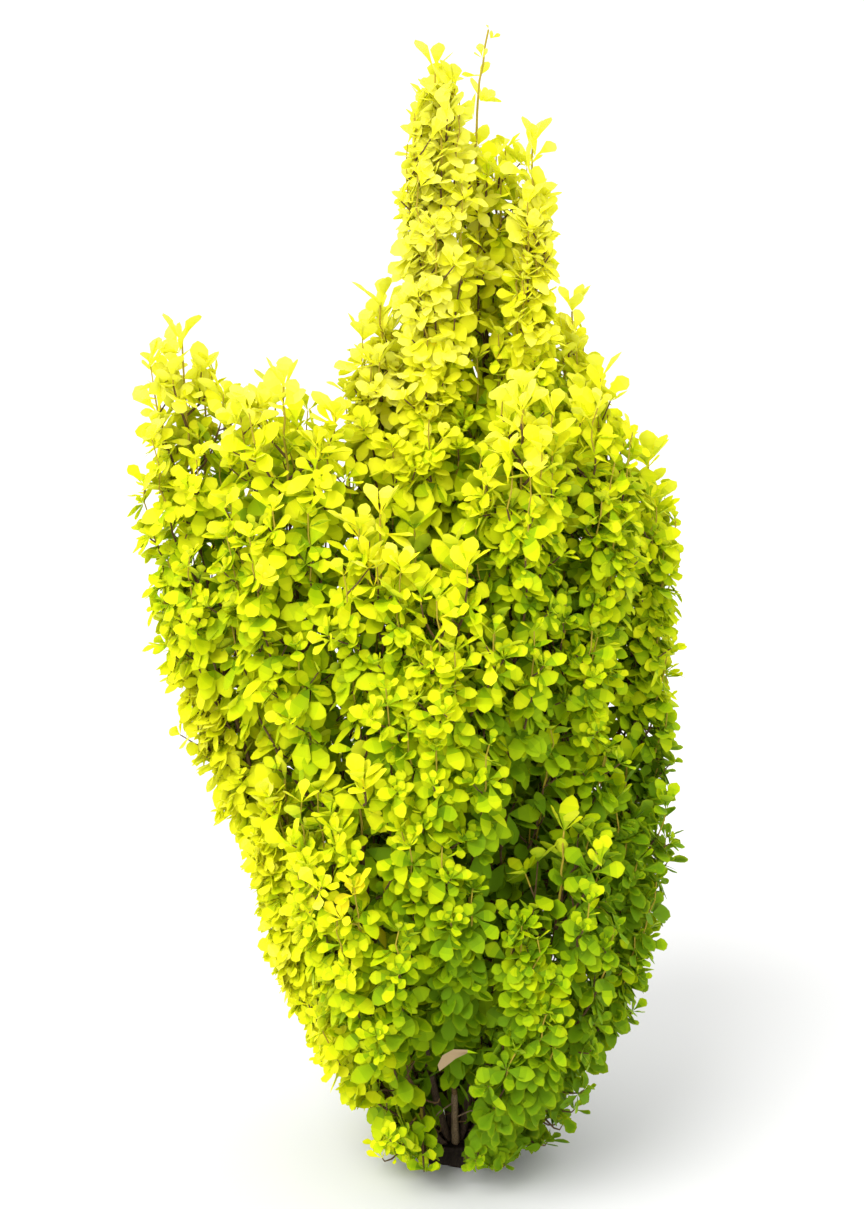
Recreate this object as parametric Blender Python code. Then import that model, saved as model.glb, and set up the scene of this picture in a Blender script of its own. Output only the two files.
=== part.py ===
"""A golden columnar barberry, one metre tall, for Blender.

A low root crown is cut flat at ground level. Upright stems fork from its top, lean out and turn upright,
and each ends where it enters its own mass of foliage. A mass is one solid: the stem carried on to its tip,
twigs that branch from it, leaves, and a smaller core that they stand out of, because this shrub is dense.
The leaves are fewer and larger than life. Lengths are in metres, +Z is up, and the front faces -Y.
"""

import itertools
import math
import random
from collections import namedtuple

import bmesh
import bpy
import numpy as np

PLANT_HEIGHT = 1.000

# The root crown
CROWN_FOOT_RADIUS = 0.037
CROWN_TOP_RADIUS = 0.031
CROWN_HEIGHT = 0.016
CROWN_SIDES = 24
CROWN_LOBES = 5
CROWN_LOBE_DEPTH = 0.09
WIDEST_CROWN = CROWN_FOOT_RADIUS * (1 + CROWN_LOBE_DEPTH)

# The stems. Each leans out as a quarter sine of its height, so that it is nearly upright at its tip.
LEAN_POWER = 0.8
STEM_FOOT_RADIUS = 0.0038
STEM_TAPER = 0.70
LOW_STEM_SHARE = 0.80
STEM_SIDES = 6
STEM_STEP = 0.06
FOOT_SPACING = 0.0094
FOOT_ROUNDS = 400
RIM_MARGIN = 0.001
JOINT_GAP = 0.0003

# The space that a mass keeps to, as shares of its girth along its stem
GIRTH_AT_START = 0.78
GIRTH_AT_TIP = 0.52
WIDEST_FROM = 0.25
SPACE_SAMPLES = 32
SPACE_MARGIN = 0.10
LIMB_CLEARANCE = 0.005
GROUND_CLEARANCE = 0.004
CROWN_CLEARANCE = 0.002

# The core of a mass, between two shares of the mass. It closes in towards both ends as part of a sine does.
CORE_SHARE = 0.53
CORE_SIDES = 7
CORE_STEP = 0.075
CORE_FROM = 0.05
CORE_TO = 0.86
CORE_CLOSING = 0.12
CORE_LEAST_RADIUS = 0.0025
MARCH_STEP = 0.002

# The leader, which is the stem inside its mass, and the twigs on it
LEADER_SIDES = 4
LEADER_STEP = 0.10
LEADER_JOINT_SHARE = 0.92
LEADER_TIP_RADIUS = 0.0013
TWIG_RADIUS = 0.0021
TWIG_TIP_RADIUS = 0.0012
TWIG_ANGLE = math.radians(52)
TWIG_SPACING = 0.085
LEAST_TWIG = 0.012
LEAST_REACH = 0.030
TWIG_TRIES = 6
GOLDEN_ANGLE = math.radians(137.5)

# A leaf's shape, as shares of its length
LEAF_LENGTH = 0.058
END_LEAF_LENGTH = 0.042
LEAF_WIDTH_SHARE = 0.66
LEAF_WIDEST = 0.62
LEAF_END = 0.97
LEAF_END_WIDTH = 0.50
LEAF_THICKNESS_SHARE = 0.036
LEAF_THICKEST = 0.40
LEAF_CUP_SHARE = 0.05
LEAF_END_CUP_SHARE = 0.07
LEAF_SINK = 0.0008

# How leaves stand. One that does not fit is turned by a shift, then made smaller, then skipped.
LEAF_OPENING = math.radians(60)
LEAF_ROLL = 0.35
LEAF_SIZES = (1.08, 0.90, 0.74, 0.62)
LEAF_SHIFTS = (0.0, 0.6, -0.6, 1.2, -1.2)
LEAF_SPACING = 0.007
LEAF_APART = 0.006
STANDS_OUT = 0.66
ROOM_FOR_LEAVES = 0.029
LEAVES_ON_TWIG = 4
LEAVES_ON_TOP = 6
TOP_FROM = 0.80
CORE_LEAF_SPACING = 0.018
CORE_LEAF_ROOT = 0.78
CORE_LEAF_LIFT = 0.35
CORE_LEAF_TURN = 2.2

Shoot = namedtuple("Shoot", "name tip leafy_from girth low")
SHOOTS = (
    Shoot("left_outer", (-0.230, -0.012, 0.768), 0.150, 0.076, False),
    Shoot("left_inner", (-0.142, -0.066, 0.735), 0.160, 0.078, False),
    Shoot("front_left", (-0.062, -0.132, 0.637), 0.160, 0.064, False),
    Shoot("front_middle", (-0.005, -0.150, 0.613), 0.080, 0.064, False),
    Shoot("front_right", (0.052, -0.110, 0.737), 0.150, 0.064, False),
    Shoot("right_inner", (0.118, -0.050, 0.740), 0.160, 0.064, False),
    Shoot("right_outer", (0.166, 0.020, 0.655), 0.160, 0.062, False),
    Shoot("low_left", (-0.146, -0.064, 0.390), 0.034, 0.062, True),
    Shoot("low_front", (-0.080, -0.142, 0.428), 0.034, 0.066, True),
    Shoot("low_right", (0.088, -0.134, 0.366), 0.034, 0.068, True),
    Shoot("low_side", (0.148, -0.030, 0.390), 0.034, 0.068, True),
    Shoot("shoulder", (-0.064, -0.005, 0.787), 0.400, 0.060, False),
    Shoot("spire_left", (-0.018, -0.030, 0.987), 0.400, 0.060, False),
    Shoot("spire_main", (0.027, 0.020, 1.000), 0.400, 0.050, False),
    Shoot("spire_right", (0.062, -0.015, 0.925), 0.420, 0.044, False),
    Shoot("right_shoulder", (0.100, 0.050, 0.776), 0.400, 0.058, False),
    Shoot("back_left", (-0.160, 0.088, 0.710), 0.170, 0.074, False),
    Shoot("back_middle", (-0.042, 0.130, 0.740), 0.180, 0.074, False),
    Shoot("back_right", (0.078, 0.124, 0.690), 0.180, 0.074, False),
    Shoot("low_back_left", (-0.084, 0.128, 0.400), 0.034, 0.070, True),
    Shoot("low_back_right", (0.062, 0.138, 0.380), 0.034, 0.070, True),
)

FIRST_SEED = 100

BARK_COLOUR = (0.135, 0.085, 0.050)
CROWN_COLOUR = (0.095, 0.062, 0.040)
LEAF_COLOUR = (0.62, 0.66, 0.03)


def material(name, colour, roughness):
    """A plain Principled finish."""
    made = bpy.data.materials.new(name)
    made.use_nodes = True
    shader = made.node_tree.nodes["Principled BSDF"]
    shader.inputs["Base Color"].default_value = (*colour, 1.0)
    shader.inputs["Roughness"].default_value = roughness
    shader.inputs["Metallic"].default_value = 0.0
    return made


def unit(vector):
    return vector / np.linalg.norm(vector)


def across(direction):
    """Two unit vectors square to a direction and to each other, the first as near +X as it can be."""
    first = unit(np.array([1.0, 0.0, 0.0]) - direction[0] * direction)
    return first, np.cross(direction, first)


def stem_feet():
    """Where each stem stands on the root crown: on its tip's side, pushed apart until none touches."""
    farthest = max(math.hypot(*shoot.tip[:2]) for shoot in SHOOTS)
    most = CROWN_TOP_RADIUS - STEM_FOOT_RADIUS - RIM_MARGIN
    feet = np.array([shoot.tip[:2] for shoot in SHOOTS]) * (most / farthest)
    for _ in range(FOOT_ROUNDS):
        for first in range(len(feet)):
            for second in range(first + 1, len(feet)):
                between = feet[second] - feet[first]
                distance = max(np.linalg.norm(between), 1e-6)
                if distance < FOOT_SPACING:
                    push = between / distance * (FOOT_SPACING - distance) / 2
                    feet[first] -= push
                    feet[second] += push
        out = np.linalg.norm(feet, axis=1)
        feet *= np.minimum(1.0, most / np.maximum(out, 1e-6))[:, None]
    return feet


class Stem:
    """A shoot's whole line, from its foot on the root crown to its tip. Its mass begins at leafy."""

    def __init__(self, shoot, foot):
        self.foot = np.array([*foot, CROWN_HEIGHT + JOINT_GAP])
        self.tip = np.array(shoot.tip)
        self.girth = shoot.girth
        self.leafy = (shoot.leafy_from - self.foot[2]) / (self.tip[2] - self.foot[2])
        self.foot_radius = STEM_FOOT_RADIUS * (LOW_STEM_SHARE if shoot.low else 1.0)
        self.bare_length = np.linalg.norm(self.point(self.leafy) - self.foot)
        self.mass_length = np.linalg.norm(self.tip - self.point(self.leafy))
        self.wood_to = 1 - END_LEAF_LENGTH / self.mass_length

    def point(self, share):
        lean = math.sin(math.pi / 2 * share**LEAN_POWER)
        rise = self.tip - self.foot
        return self.foot + rise * np.array([lean, lean, share])

    def direction(self, share):
        step = 0.01
        return unit(self.point(min(1.0, share + step)) - self.point(max(0.0, share - step)))

    def radius(self, share):
        """The bare stem's radius. It tapers evenly from the foot to the start of the mass."""
        return self.foot_radius * (1 - (1 - STEM_TAPER) * share / self.leafy)

    def in_mass(self, share):
        """The share of the whole line at a share of the mass."""
        return self.leafy + (1 - self.leafy) * share

    def space_radius(self, share):
        """How far the mass may reach from its stem, at a share of the mass."""
        swell = min(1.0, GIRTH_AT_START + (1 - GIRTH_AT_START) * share / WIDEST_FROM)
        return self.girth * swell * (1 - (1 - GIRTH_AT_TIP) * share**3)


class Crown:
    """All the stems, the spaces that their masses keep to, and the bare limbs, which masses keep clear of."""

    def __init__(self):
        self.stems = [Stem(shoot, foot) for shoot, foot in zip(SHOOTS, stem_feet())]
        shares = np.linspace(0, 1, SPACE_SAMPLES)
        self.lines = np.array([[s.point(s.in_mass(a)) for a in shares] for s in self.stems])
        self.reaches = np.array([[s.space_radius(a) for a in shares] for s in self.stems])
        bare = [[s.point(a * s.leafy) for a in shares] for s in self.stems]
        self.limbs = np.array(bare).reshape(-1, 3)
        thick = [[s.radius(a * s.leafy) for a in shares] for s in self.stems]
        self.limb_radii = np.array(thick).reshape(-1)

    def nearness(self, points):
        """How near each point is to each mass's line, as a share of how far that mass reaches there."""
        away = np.linalg.norm(points[:, None, None, :] - self.lines[None], axis=3)
        return (away / self.reaches[None]).min(axis=2)

    def fits(self, points, own):
        """Whether each point lies in a mass's space, clear of other spaces, limbs and the ground."""
        nearness = self.nearness(points)
        mine = nearness[:, own].copy()
        nearness[:, own] = np.inf
        to_limbs = np.linalg.norm(points[:, None, :] - self.limbs[None], axis=2) - self.limb_radii[None]
        beside_crown = np.linalg.norm(points[:, :2], axis=1) >= WIDEST_CROWN + CROWN_CLEARANCE
        return (
            (mine <= 1.0)
            & (mine + SPACE_MARGIN <= nearness.min(axis=1))
            & (to_limbs.min(axis=1) >= LIMB_CLEARANCE)
            & (points[:, 2] >= GROUND_CLEARANCE)
            & (beside_crown | (points[:, 2] >= CROWN_HEIGHT + CROWN_CLEARANCE))
            & (points[:, 2] <= PLANT_HEIGHT)
        )

    def reach(self, start, direction, own):
        """How far a straight line from a point inside mass own stays in its space."""
        steps = np.arange(MARCH_STEP, 3 * self.stems[own].girth, MARCH_STEP)
        inside = self.fits(start + steps[:, None] * direction, own)
        return steps[-1] if inside.all() else steps[max(0, int(np.argmin(inside)) - 1)]


def mesh_object(name, points, faces, finish, collection):
    """An object from points and faces, with its normals made to point outwards."""
    mesh = bpy.data.meshes.new(name)
    mesh.from_pydata([tuple(p) for p in points], [], faces)
    shape = bmesh.new()
    shape.from_mesh(mesh)
    bmesh.ops.recalc_face_normals(shape, faces=shape.faces)
    shape.to_mesh(mesh)
    shape.free()
    mesh.materials.append(finish)
    made = bpy.data.objects.new(name, mesh)
    collection.objects.link(made)
    return made


def loft(rings):
    """Points and faces of a closed body through rings of the same number of points."""
    sides = len(rings[0])
    points = [point for ring in rings for point in ring]
    faces = [tuple(range(sides))]
    for start in range(0, sides * (len(rings) - 1), sides):
        for side in range(sides):
            after = (side + 1) % sides
            faces.append((start + side, start + after, start + sides + after, start + sides + side))
    faces.append(tuple(range(len(points) - sides, len(points))))
    return points, faces


def ring(centre, direction, radii):
    """Points round a centre, square to a direction, one for each radius."""
    first, second = across(direction)
    turns = [2 * math.pi * side / len(radii) for side in range(len(radii))]
    return [
        centre + radius * (math.cos(turn) * first + math.sin(turn) * second)
        for radius, turn in zip(radii, turns)
    ]


def tube(path, radii, sides, level_foot=False):
    """A tapering limb along a path. With level_foot, its lower end is cut level with the ground."""
    rings = []
    for place, (centre, radius) in enumerate(zip(path, radii)):
        before, after = path[max(0, place - 1)], path[min(len(path) - 1, place + 1)]
        direction = unit(after - before)
        if level_foot and place == 0:
            direction = np.array([0.0, 0.0, 1.0])
        rings.append(ring(centre, direction, [radius] * sides))
    return loft(rings)


def make_root_crown(finish, collection):
    """The low woody crown: flat at the ground, flared in lobes, with a flat top that the stems stand on."""
    levels = (
        (0.0, CROWN_FOOT_RADIUS, 1.0),
        (0.35 * CROWN_HEIGHT, 0.93 * CROWN_FOOT_RADIUS, 1.0),
        (0.80 * CROWN_HEIGHT, 1.07 * CROWN_TOP_RADIUS, 0.5),
        (CROWN_HEIGHT, CROWN_TOP_RADIUS, 0.0),
    )
    rings = []
    for height, radius, lobing in levels:
        around = [2 * math.pi * side / CROWN_SIDES for side in range(CROWN_SIDES)]
        radii = [radius * (1 + lobing * CROWN_LOBE_DEPTH * math.cos(CROWN_LOBES * turn)) for turn in around]
        rings.append(ring(np.array([0.0, 0.0, height]), np.array([0.0, 0.0, 1.0]), radii))
    return mesh_object("root_crown", *loft(rings), finish, collection)


def make_stem(shoot, stem, finish, collection):
    """The bare limb from the root crown to the start of its mass."""
    rings = max(3, 1 + round(stem.bare_length / STEM_STEP))
    shares = np.linspace(0, stem.leafy, rings)
    path = [stem.point(share) for share in shares]
    radii = [stem.radius(share) for share in shares]
    return mesh_object("stem_" + shoot.name, *tube(path, radii, STEM_SIDES, True), finish, collection)


def leader_of(stem):
    """The stem carried on through the mass, from just clear of the bare limb to where the end leaf stands."""
    rings = 2 + round(stem.mass_length / LEADER_STEP)
    shares = np.linspace(0, stem.wood_to, rings)
    path = [stem.point(stem.in_mass(share)) for share in shares]
    path[0] = path[0] + JOINT_GAP * stem.direction(stem.leafy)
    radii = np.linspace(LEADER_JOINT_SHARE * stem.radius(stem.leafy), LEADER_TIP_RADIUS, rings)
    return tube(path, radii, LEADER_SIDES)


def core_radius(crown, own, share, outward):
    """How thick the core is, one way out from the stem: a share of how far the space reaches that way."""
    stem = crown.stems[own]
    centre = stem.point(stem.in_mass(share))
    most = CORE_SHARE * stem.space_radius(share)
    reached = CORE_SHARE * crown.reach(centre, outward, own)
    along = (share - CORE_FROM) / (CORE_TO - CORE_FROM)
    closing = math.sqrt(math.sin(math.pi * (CORE_CLOSING + (1 - 2 * CORE_CLOSING) * along)))
    return closing * min(most, max(CORE_LEAST_RADIUS, reached))


def core_of(crown, own):
    """A smaller body inside the mass."""
    stem = crown.stems[own]
    rings = []
    count = max(4, 1 + round((CORE_TO - CORE_FROM) * stem.mass_length / CORE_STEP))
    for share in np.linspace(CORE_FROM, CORE_TO, count):
        centre = stem.point(stem.in_mass(share))
        direction = stem.direction(stem.in_mass(share))
        ways = ring(np.zeros(3), direction, [1.0] * CORE_SIDES)
        rings.append(ring(centre, direction, [core_radius(crown, own, share, way) for way in ways]))
    return loft(rings)


def leaf_frame(twig_direction, turn, opening, roll):
    """A leaf's own axes: along it, across it, and out of its upper face, which looks to the twig's tip."""
    first, second = across(twig_direction)
    outward = math.cos(turn) * first + math.sin(turn) * second
    along = math.cos(opening) * twig_direction + math.sin(opening) * outward
    over = unit(twig_direction - np.dot(twig_direction, along) * along)
    side = np.cross(over, along)
    rolled = math.cos(roll) * side + math.sin(roll) * over
    return along, rolled, np.cross(along, rolled)


def leaf_body(root, frame, length):
    """Points and faces of one leaf: widest beyond its middle, round at the tip, and slightly cupped."""
    along, side, over = frame
    half = LEAF_WIDTH_SHARE / 2
    end_half = LEAF_END_WIDTH * half
    outline = (
        (-LEAF_SINK / length, 0.0, 0.0),
        (LEAF_WIDEST, half, -LEAF_CUP_SHARE),
        (LEAF_END, end_half, -LEAF_END_CUP_SHARE),
        (LEAF_END, -end_half, -LEAF_END_CUP_SHARE),
        (LEAF_WIDEST, -half, -LEAF_CUP_SHARE),
        (LEAF_THICKEST, 0.0, LEAF_THICKNESS_SHARE / 2),
        (LEAF_THICKEST, 0.0, -LEAF_THICKNESS_SHARE / 2),
    )
    points = [root + length * (a * along + b * side + c * over) for a, b, c in outline]
    rim = 5
    upper = 5
    lower = 6
    faces = [(place, (place + 1) % rim, upper) for place in range(rim)]
    faces += [((place + 1) % rim, place, lower) for place in range(rim)]
    return points, faces


def blade_samples(points):
    """Places spread over a leaf's blade, beyond its root, by which it is kept apart from others."""
    root, left, left_tip, right_tip, right = np.array(points[:5])
    rows = ((0.45, left, right), (0.75, left, right), (1.0, left, right), (1.0, left_tip, right_tip))
    found = []
    for far, one, other in rows:
        for share in (0.0, 0.5, 1.0):
            found.append(root + far * (one + (other - one) * share - root))
    return np.array(found)


def leaf_fits(crown, own, points, taken):
    """Whether a leaf keeps to its mass's space, stands out of the core and crosses no leaf placed before."""
    samples = blade_samples(points)
    if not crown.fits(samples, own).all():
        return False
    nearness = crown.nearness(samples)[:, own]
    outer_half = nearness[len(nearness) // 2:]
    if outer_half.min() < CORE_SHARE or nearness.max() < STANDS_OUT:
        return False
    return all(np.linalg.norm(samples[:, None] - other[None], axis=2).min() > LEAF_APART for other in taken)


def place_leaf(crown, own, root, facing, turn, chance, taken):
    """One leaf in a list, or none where it fits no way. It is turned, then made smaller, until it fits."""
    opening = LEAF_OPENING * chance.uniform(0.8, 1.2)
    roll = chance.uniform(-LEAF_ROLL, LEAF_ROLL)
    scale = chance.uniform(0.88, 1.10)
    for size, shift in itertools.product(LEAF_SIZES, LEAF_SHIFTS):
        frame = leaf_frame(facing, turn + shift, opening, roll)
        body = leaf_body(root, frame, LEAF_LENGTH * scale * size)
        if leaf_fits(crown, own, body[0], taken):
            taken.append(blade_samples(body[0]))
            return [body]
    return []


def leaves_on_twig(crown, own, start, end, most, chance, taken):
    """Leaves round a twig, from its end back, turned by the golden angle."""
    direction = unit(end - start)
    length = np.linalg.norm(end - start)
    turn = chance.uniform(0, 2 * math.pi)
    made = []
    for number in range(most):
        place = length - number * LEAF_SPACING
        if place > 0:
            made += place_leaf(crown, own, start + place * direction, direction, turn, chance, taken)
        turn += GOLDEN_ANGLE + chance.uniform(-0.3, 0.3)
    return made


def leaves_on_core(crown, own, chance, taken):
    """Leaves all over the core, placed round the stem by the golden angle, that point up more than down."""
    stem = crown.stems[own]
    count = int((CORE_TO - CORE_FROM) * stem.mass_length / CORE_LEAF_SPACING)
    made = []
    for number in range(count):
        share = CORE_FROM + (CORE_TO - CORE_FROM) * (number + 0.5) / count
        direction = stem.direction(stem.in_mass(share))
        first, second = across(direction)
        turn = number * GOLDEN_ANGLE
        outward = math.cos(turn) * first + math.sin(turn) * second
        depth = CORE_LEAF_ROOT * core_radius(crown, own, share, outward)
        root = stem.point(stem.in_mass(share)) + depth * outward
        facing = unit(outward + CORE_LEAF_LIFT * direction)
        side, over = across(facing)
        upward = math.atan2(np.dot(direction, over), np.dot(direction, side))
        lean = chance.uniform(-CORE_LEAF_TURN, CORE_LEAF_TURN)
        made += place_leaf(crown, own, root, facing, upward + lean, chance, taken)
    return made


def end_leaf(stem, chance):
    """The leaf that carries the leader on to the mass's tip."""
    root = stem.point(stem.in_mass(stem.wood_to)) - LEAF_SINK * stem.direction(1.0)
    along = unit(stem.tip - root)
    first, second = across(along)
    turn = chance.uniform(0, 2 * math.pi)
    side = math.cos(turn) * first + math.sin(turn) * second
    length = np.linalg.norm(stem.tip - root) / LEAF_END
    return leaf_body(root, (along, side, np.cross(along, side)), length)


def twig_line(crown, own, share, turn):
    """A twig's two ends, on whichever side of the stem has room for it, or none where no side has."""
    stem = crown.stems[own]
    start = stem.point(stem.in_mass(share))
    direction = stem.direction(stem.in_mass(share))
    first, second = across(direction)
    best_reach = 0.0
    best_heading = direction
    for spin in range(TWIG_TRIES):
        angle = turn + spin * 2 * math.pi / TWIG_TRIES
        outward = math.cos(angle) * first + math.sin(angle) * second
        heading = math.cos(TWIG_ANGLE) * direction + math.sin(TWIG_ANGLE) * outward
        reach = crown.reach(start, heading, own)
        if reach > best_reach:
            best_reach = reach
            best_heading = heading
        if reach >= stem.space_radius(share):
            break
    if best_reach < LEAST_REACH:
        return None
    return start, start + max(LEAST_TWIG, best_reach - ROOM_FOR_LEAVES) * best_heading


def twigs_and_leaves(crown, own):
    """The seeded rule of branching: twigs leave the stem by the golden angle, and carry leaves by it too."""
    stem = crown.stems[own]
    chance = random.Random(FIRST_SEED + own)
    count = max(4, int(stem.wood_to * stem.mass_length / TWIG_SPACING))
    turn = chance.uniform(0, 2 * math.pi)
    bodies = [end_leaf(stem, chance)]
    taken = [blade_samples(bodies[0][0])]
    for number in range(count):
        share = (number + chance.uniform(0.2, 0.8)) / count * stem.wood_to
        ends = twig_line(crown, own, share, turn)
        turn += GOLDEN_ANGLE
        if ends:
            bodies.append(tube(ends, (TWIG_RADIUS, TWIG_TIP_RADIUS), 3))
            bodies += leaves_on_twig(crown, own, *ends, LEAVES_ON_TWIG, chance, taken)
    low = stem.point(stem.in_mass(TOP_FROM * stem.wood_to))
    high = stem.point(stem.in_mass(stem.wood_to))
    bodies += leaves_on_twig(crown, own, low, high, LEAVES_ON_TOP, chance, taken)
    return bodies + leaves_on_core(crown, own, chance, taken)


def islands(shape):
    """The faces of a bmesh in groups that hang together."""
    left = set(shape.faces)
    while left:
        found = [left.pop()]
        for face in found:
            for line in face.edges:
                for near in line.link_faces:
                    if near in left:
                        left.discard(near)
                        found.append(near)
        yield found


def keep_outer_body(made):
    """Drops loose scraps and sealed hollows that the union left, and keeps the one large body."""
    shape = bmesh.new()
    shape.from_mesh(made.data)
    groups = sorted(islands(shape), key=len)
    spare = [face for group in groups[:-1] for face in group]
    bmesh.ops.delete(shape, geom=spare, context="FACES")
    loose = [point for point in shape.verts if not point.link_faces]
    bmesh.ops.delete(shape, geom=loose, context="VERTS")
    bmesh.ops.triangulate(shape, faces=shape.faces)
    shape.to_mesh(made.data)
    shape.free()


def make_mass(crown, own, finish, collection):
    """One mass of foliage: leader, core, twigs and leaves, joined by one Boolean union and applied."""
    name = "foliage_" + SHOOTS[own].name
    made = mesh_object(name, *leader_of(crown.stems[own]), finish, collection)
    pieces = bpy.data.collections.new(name + "_pieces")
    bodies = [core_of(crown, own)] + twigs_and_leaves(crown, own)
    for number, body in enumerate(bodies):
        mesh_object(f"{name}_piece_{number}", *body, finish, pieces)
    union = made.modifiers.new("fuse", "BOOLEAN")
    union.operation = "UNION"
    union.operand_type = "COLLECTION"
    union.collection = pieces
    union.solver = "MANIFOLD"
    bpy.context.view_layer.objects.active = made
    bpy.ops.object.modifier_apply(modifier=union.name)
    for piece in list(pieces.objects):
        bpy.data.objects.remove(piece)
    bpy.data.collections.remove(pieces)
    keep_outer_body(made)
    return made


def main():
    for old in list(bpy.data.objects):
        bpy.data.objects.remove(old)
    collection = bpy.context.scene.collection
    bark = material("bark", BARK_COLOUR, 0.85)
    old_bark = material("crown_bark", CROWN_COLOUR, 0.9)
    leaf = material("leaf", LEAF_COLOUR, 0.5)
    crown = Crown()
    make_root_crown(old_bark, collection)
    for own, shoot in enumerate(SHOOTS):
        make_stem(shoot, crown.stems[own], bark, collection)
        make_mass(crown, own, leaf, collection)


main()
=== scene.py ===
"""The looks of a golden columnar barberry, one metre tall, for Blender.

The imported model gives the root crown, the bare stems and the space that each mass of foliage keeps to.
This script covers the root crown and the stems with bark, and in place of each mass it grows the stem on:
a leader, side shoots that leave it by the golden angle and turn upright, short twigs on those, and rosettes
of small leaves on all of them. Lengths are in metres, +Z is up, and the front faces -Y.
"""

import math
from collections import namedtuple

import bpy
import numpy as np
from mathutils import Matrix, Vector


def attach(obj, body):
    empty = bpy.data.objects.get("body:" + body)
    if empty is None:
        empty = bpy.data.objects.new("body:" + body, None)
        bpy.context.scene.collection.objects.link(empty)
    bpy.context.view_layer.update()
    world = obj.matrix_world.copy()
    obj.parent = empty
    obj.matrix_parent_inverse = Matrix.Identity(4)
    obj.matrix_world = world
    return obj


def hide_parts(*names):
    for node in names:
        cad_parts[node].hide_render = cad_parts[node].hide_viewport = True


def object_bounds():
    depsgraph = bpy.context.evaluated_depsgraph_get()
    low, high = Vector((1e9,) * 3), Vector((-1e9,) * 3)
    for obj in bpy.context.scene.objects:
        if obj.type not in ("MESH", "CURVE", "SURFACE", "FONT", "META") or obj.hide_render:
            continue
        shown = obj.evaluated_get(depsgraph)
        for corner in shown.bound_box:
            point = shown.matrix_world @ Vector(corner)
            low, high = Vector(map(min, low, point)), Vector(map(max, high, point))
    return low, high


bl_info = {
    "name": "Golden Barberry",
    "version": (1, 0, 0),
    "blender": (4, 5, 0),
    "location": "View3D > Sidebar > Barberry",
    "description": "Bark, twigs and leaves for a golden columnar barberry",
    "category": "Object",
}

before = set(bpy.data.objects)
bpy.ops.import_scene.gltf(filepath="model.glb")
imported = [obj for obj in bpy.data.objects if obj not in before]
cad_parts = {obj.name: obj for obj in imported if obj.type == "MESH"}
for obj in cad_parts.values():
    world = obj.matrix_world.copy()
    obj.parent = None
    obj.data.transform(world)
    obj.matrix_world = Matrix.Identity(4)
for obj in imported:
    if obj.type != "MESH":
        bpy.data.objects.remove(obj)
CAD_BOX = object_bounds()
BODY = "root"

PLANT_HEIGHT = CAD_BOX[1].z
PLANT_LEFT = CAD_BOX[0].x
PLANT_RIGHT = CAD_BOX[1].x

# The root crown, and the rule by which stems lean out of it
CROWN_FOOT_RADIUS = 0.037
CROWN_TOP_RADIUS = 0.031
CROWN_LOBES = 5
CROWN_LOBE_DEPTH = 0.09
CROWN_HEIGHT = 0.016
CROWN_SIDES = 60
# Rows of the root crown as shares of its height, each with its radius and how far its lobes stand out
CROWN_ROWS = (
    (0.0, CROWN_FOOT_RADIUS, 1.0),
    (0.35, 0.93 * CROWN_FOOT_RADIUS, 1.0),
    (0.60, 1.0 * CROWN_TOP_RADIUS, 0.8),
    (0.80, 1.03 * CROWN_TOP_RADIUS, 0.5),
    (1.0, CROWN_TOP_RADIUS, 0.0),
)
LEAN_POWER = 0.8
STEM_FOOT_RADIUS = 0.0038
STEM_TAPER = 0.70
LOW_STEM_SHARE = 0.80
FOOT_SPACING = 0.0094
FOOT_ROUNDS = 400
RIM_MARGIN = 0.001
JOINT_GAP = 0.0003

# The space that a mass keeps to, as shares of its girth along its stem, and what it stays clear of
GIRTH_AT_START = 0.78
GIRTH_AT_TIP = 0.52
WIDEST_FROM = 0.25
SPACE_SAMPLES = 32
LIMB_CLEARANCE = 0.002
GROUND_CLEARANCE = 0.003
FOOT_SPREAD = 0.050
FOOT_RISE = 0.42
# Where along a mass its three fills hold, from where its head tapers, and by how much. No reach is less than
# the least one, so that a thin tip has leaves.
FILLED_AT = (0.0, 0.60, 1.0)
TAPER_FROM = 0.78
HEAD_TAPER = 0.14
LEAST_REACH = 0.022
# How strongly spaces flow into each other, the least nearness that counts, and the step of a straight look
FLOW = 3
LEAST_NEARNESS = 0.05
MARCH_STEP = 0.002
GOLDEN_ANGLE = math.radians(137.5)
UP = np.array([0.0, 0.0, 1.0])

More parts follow.
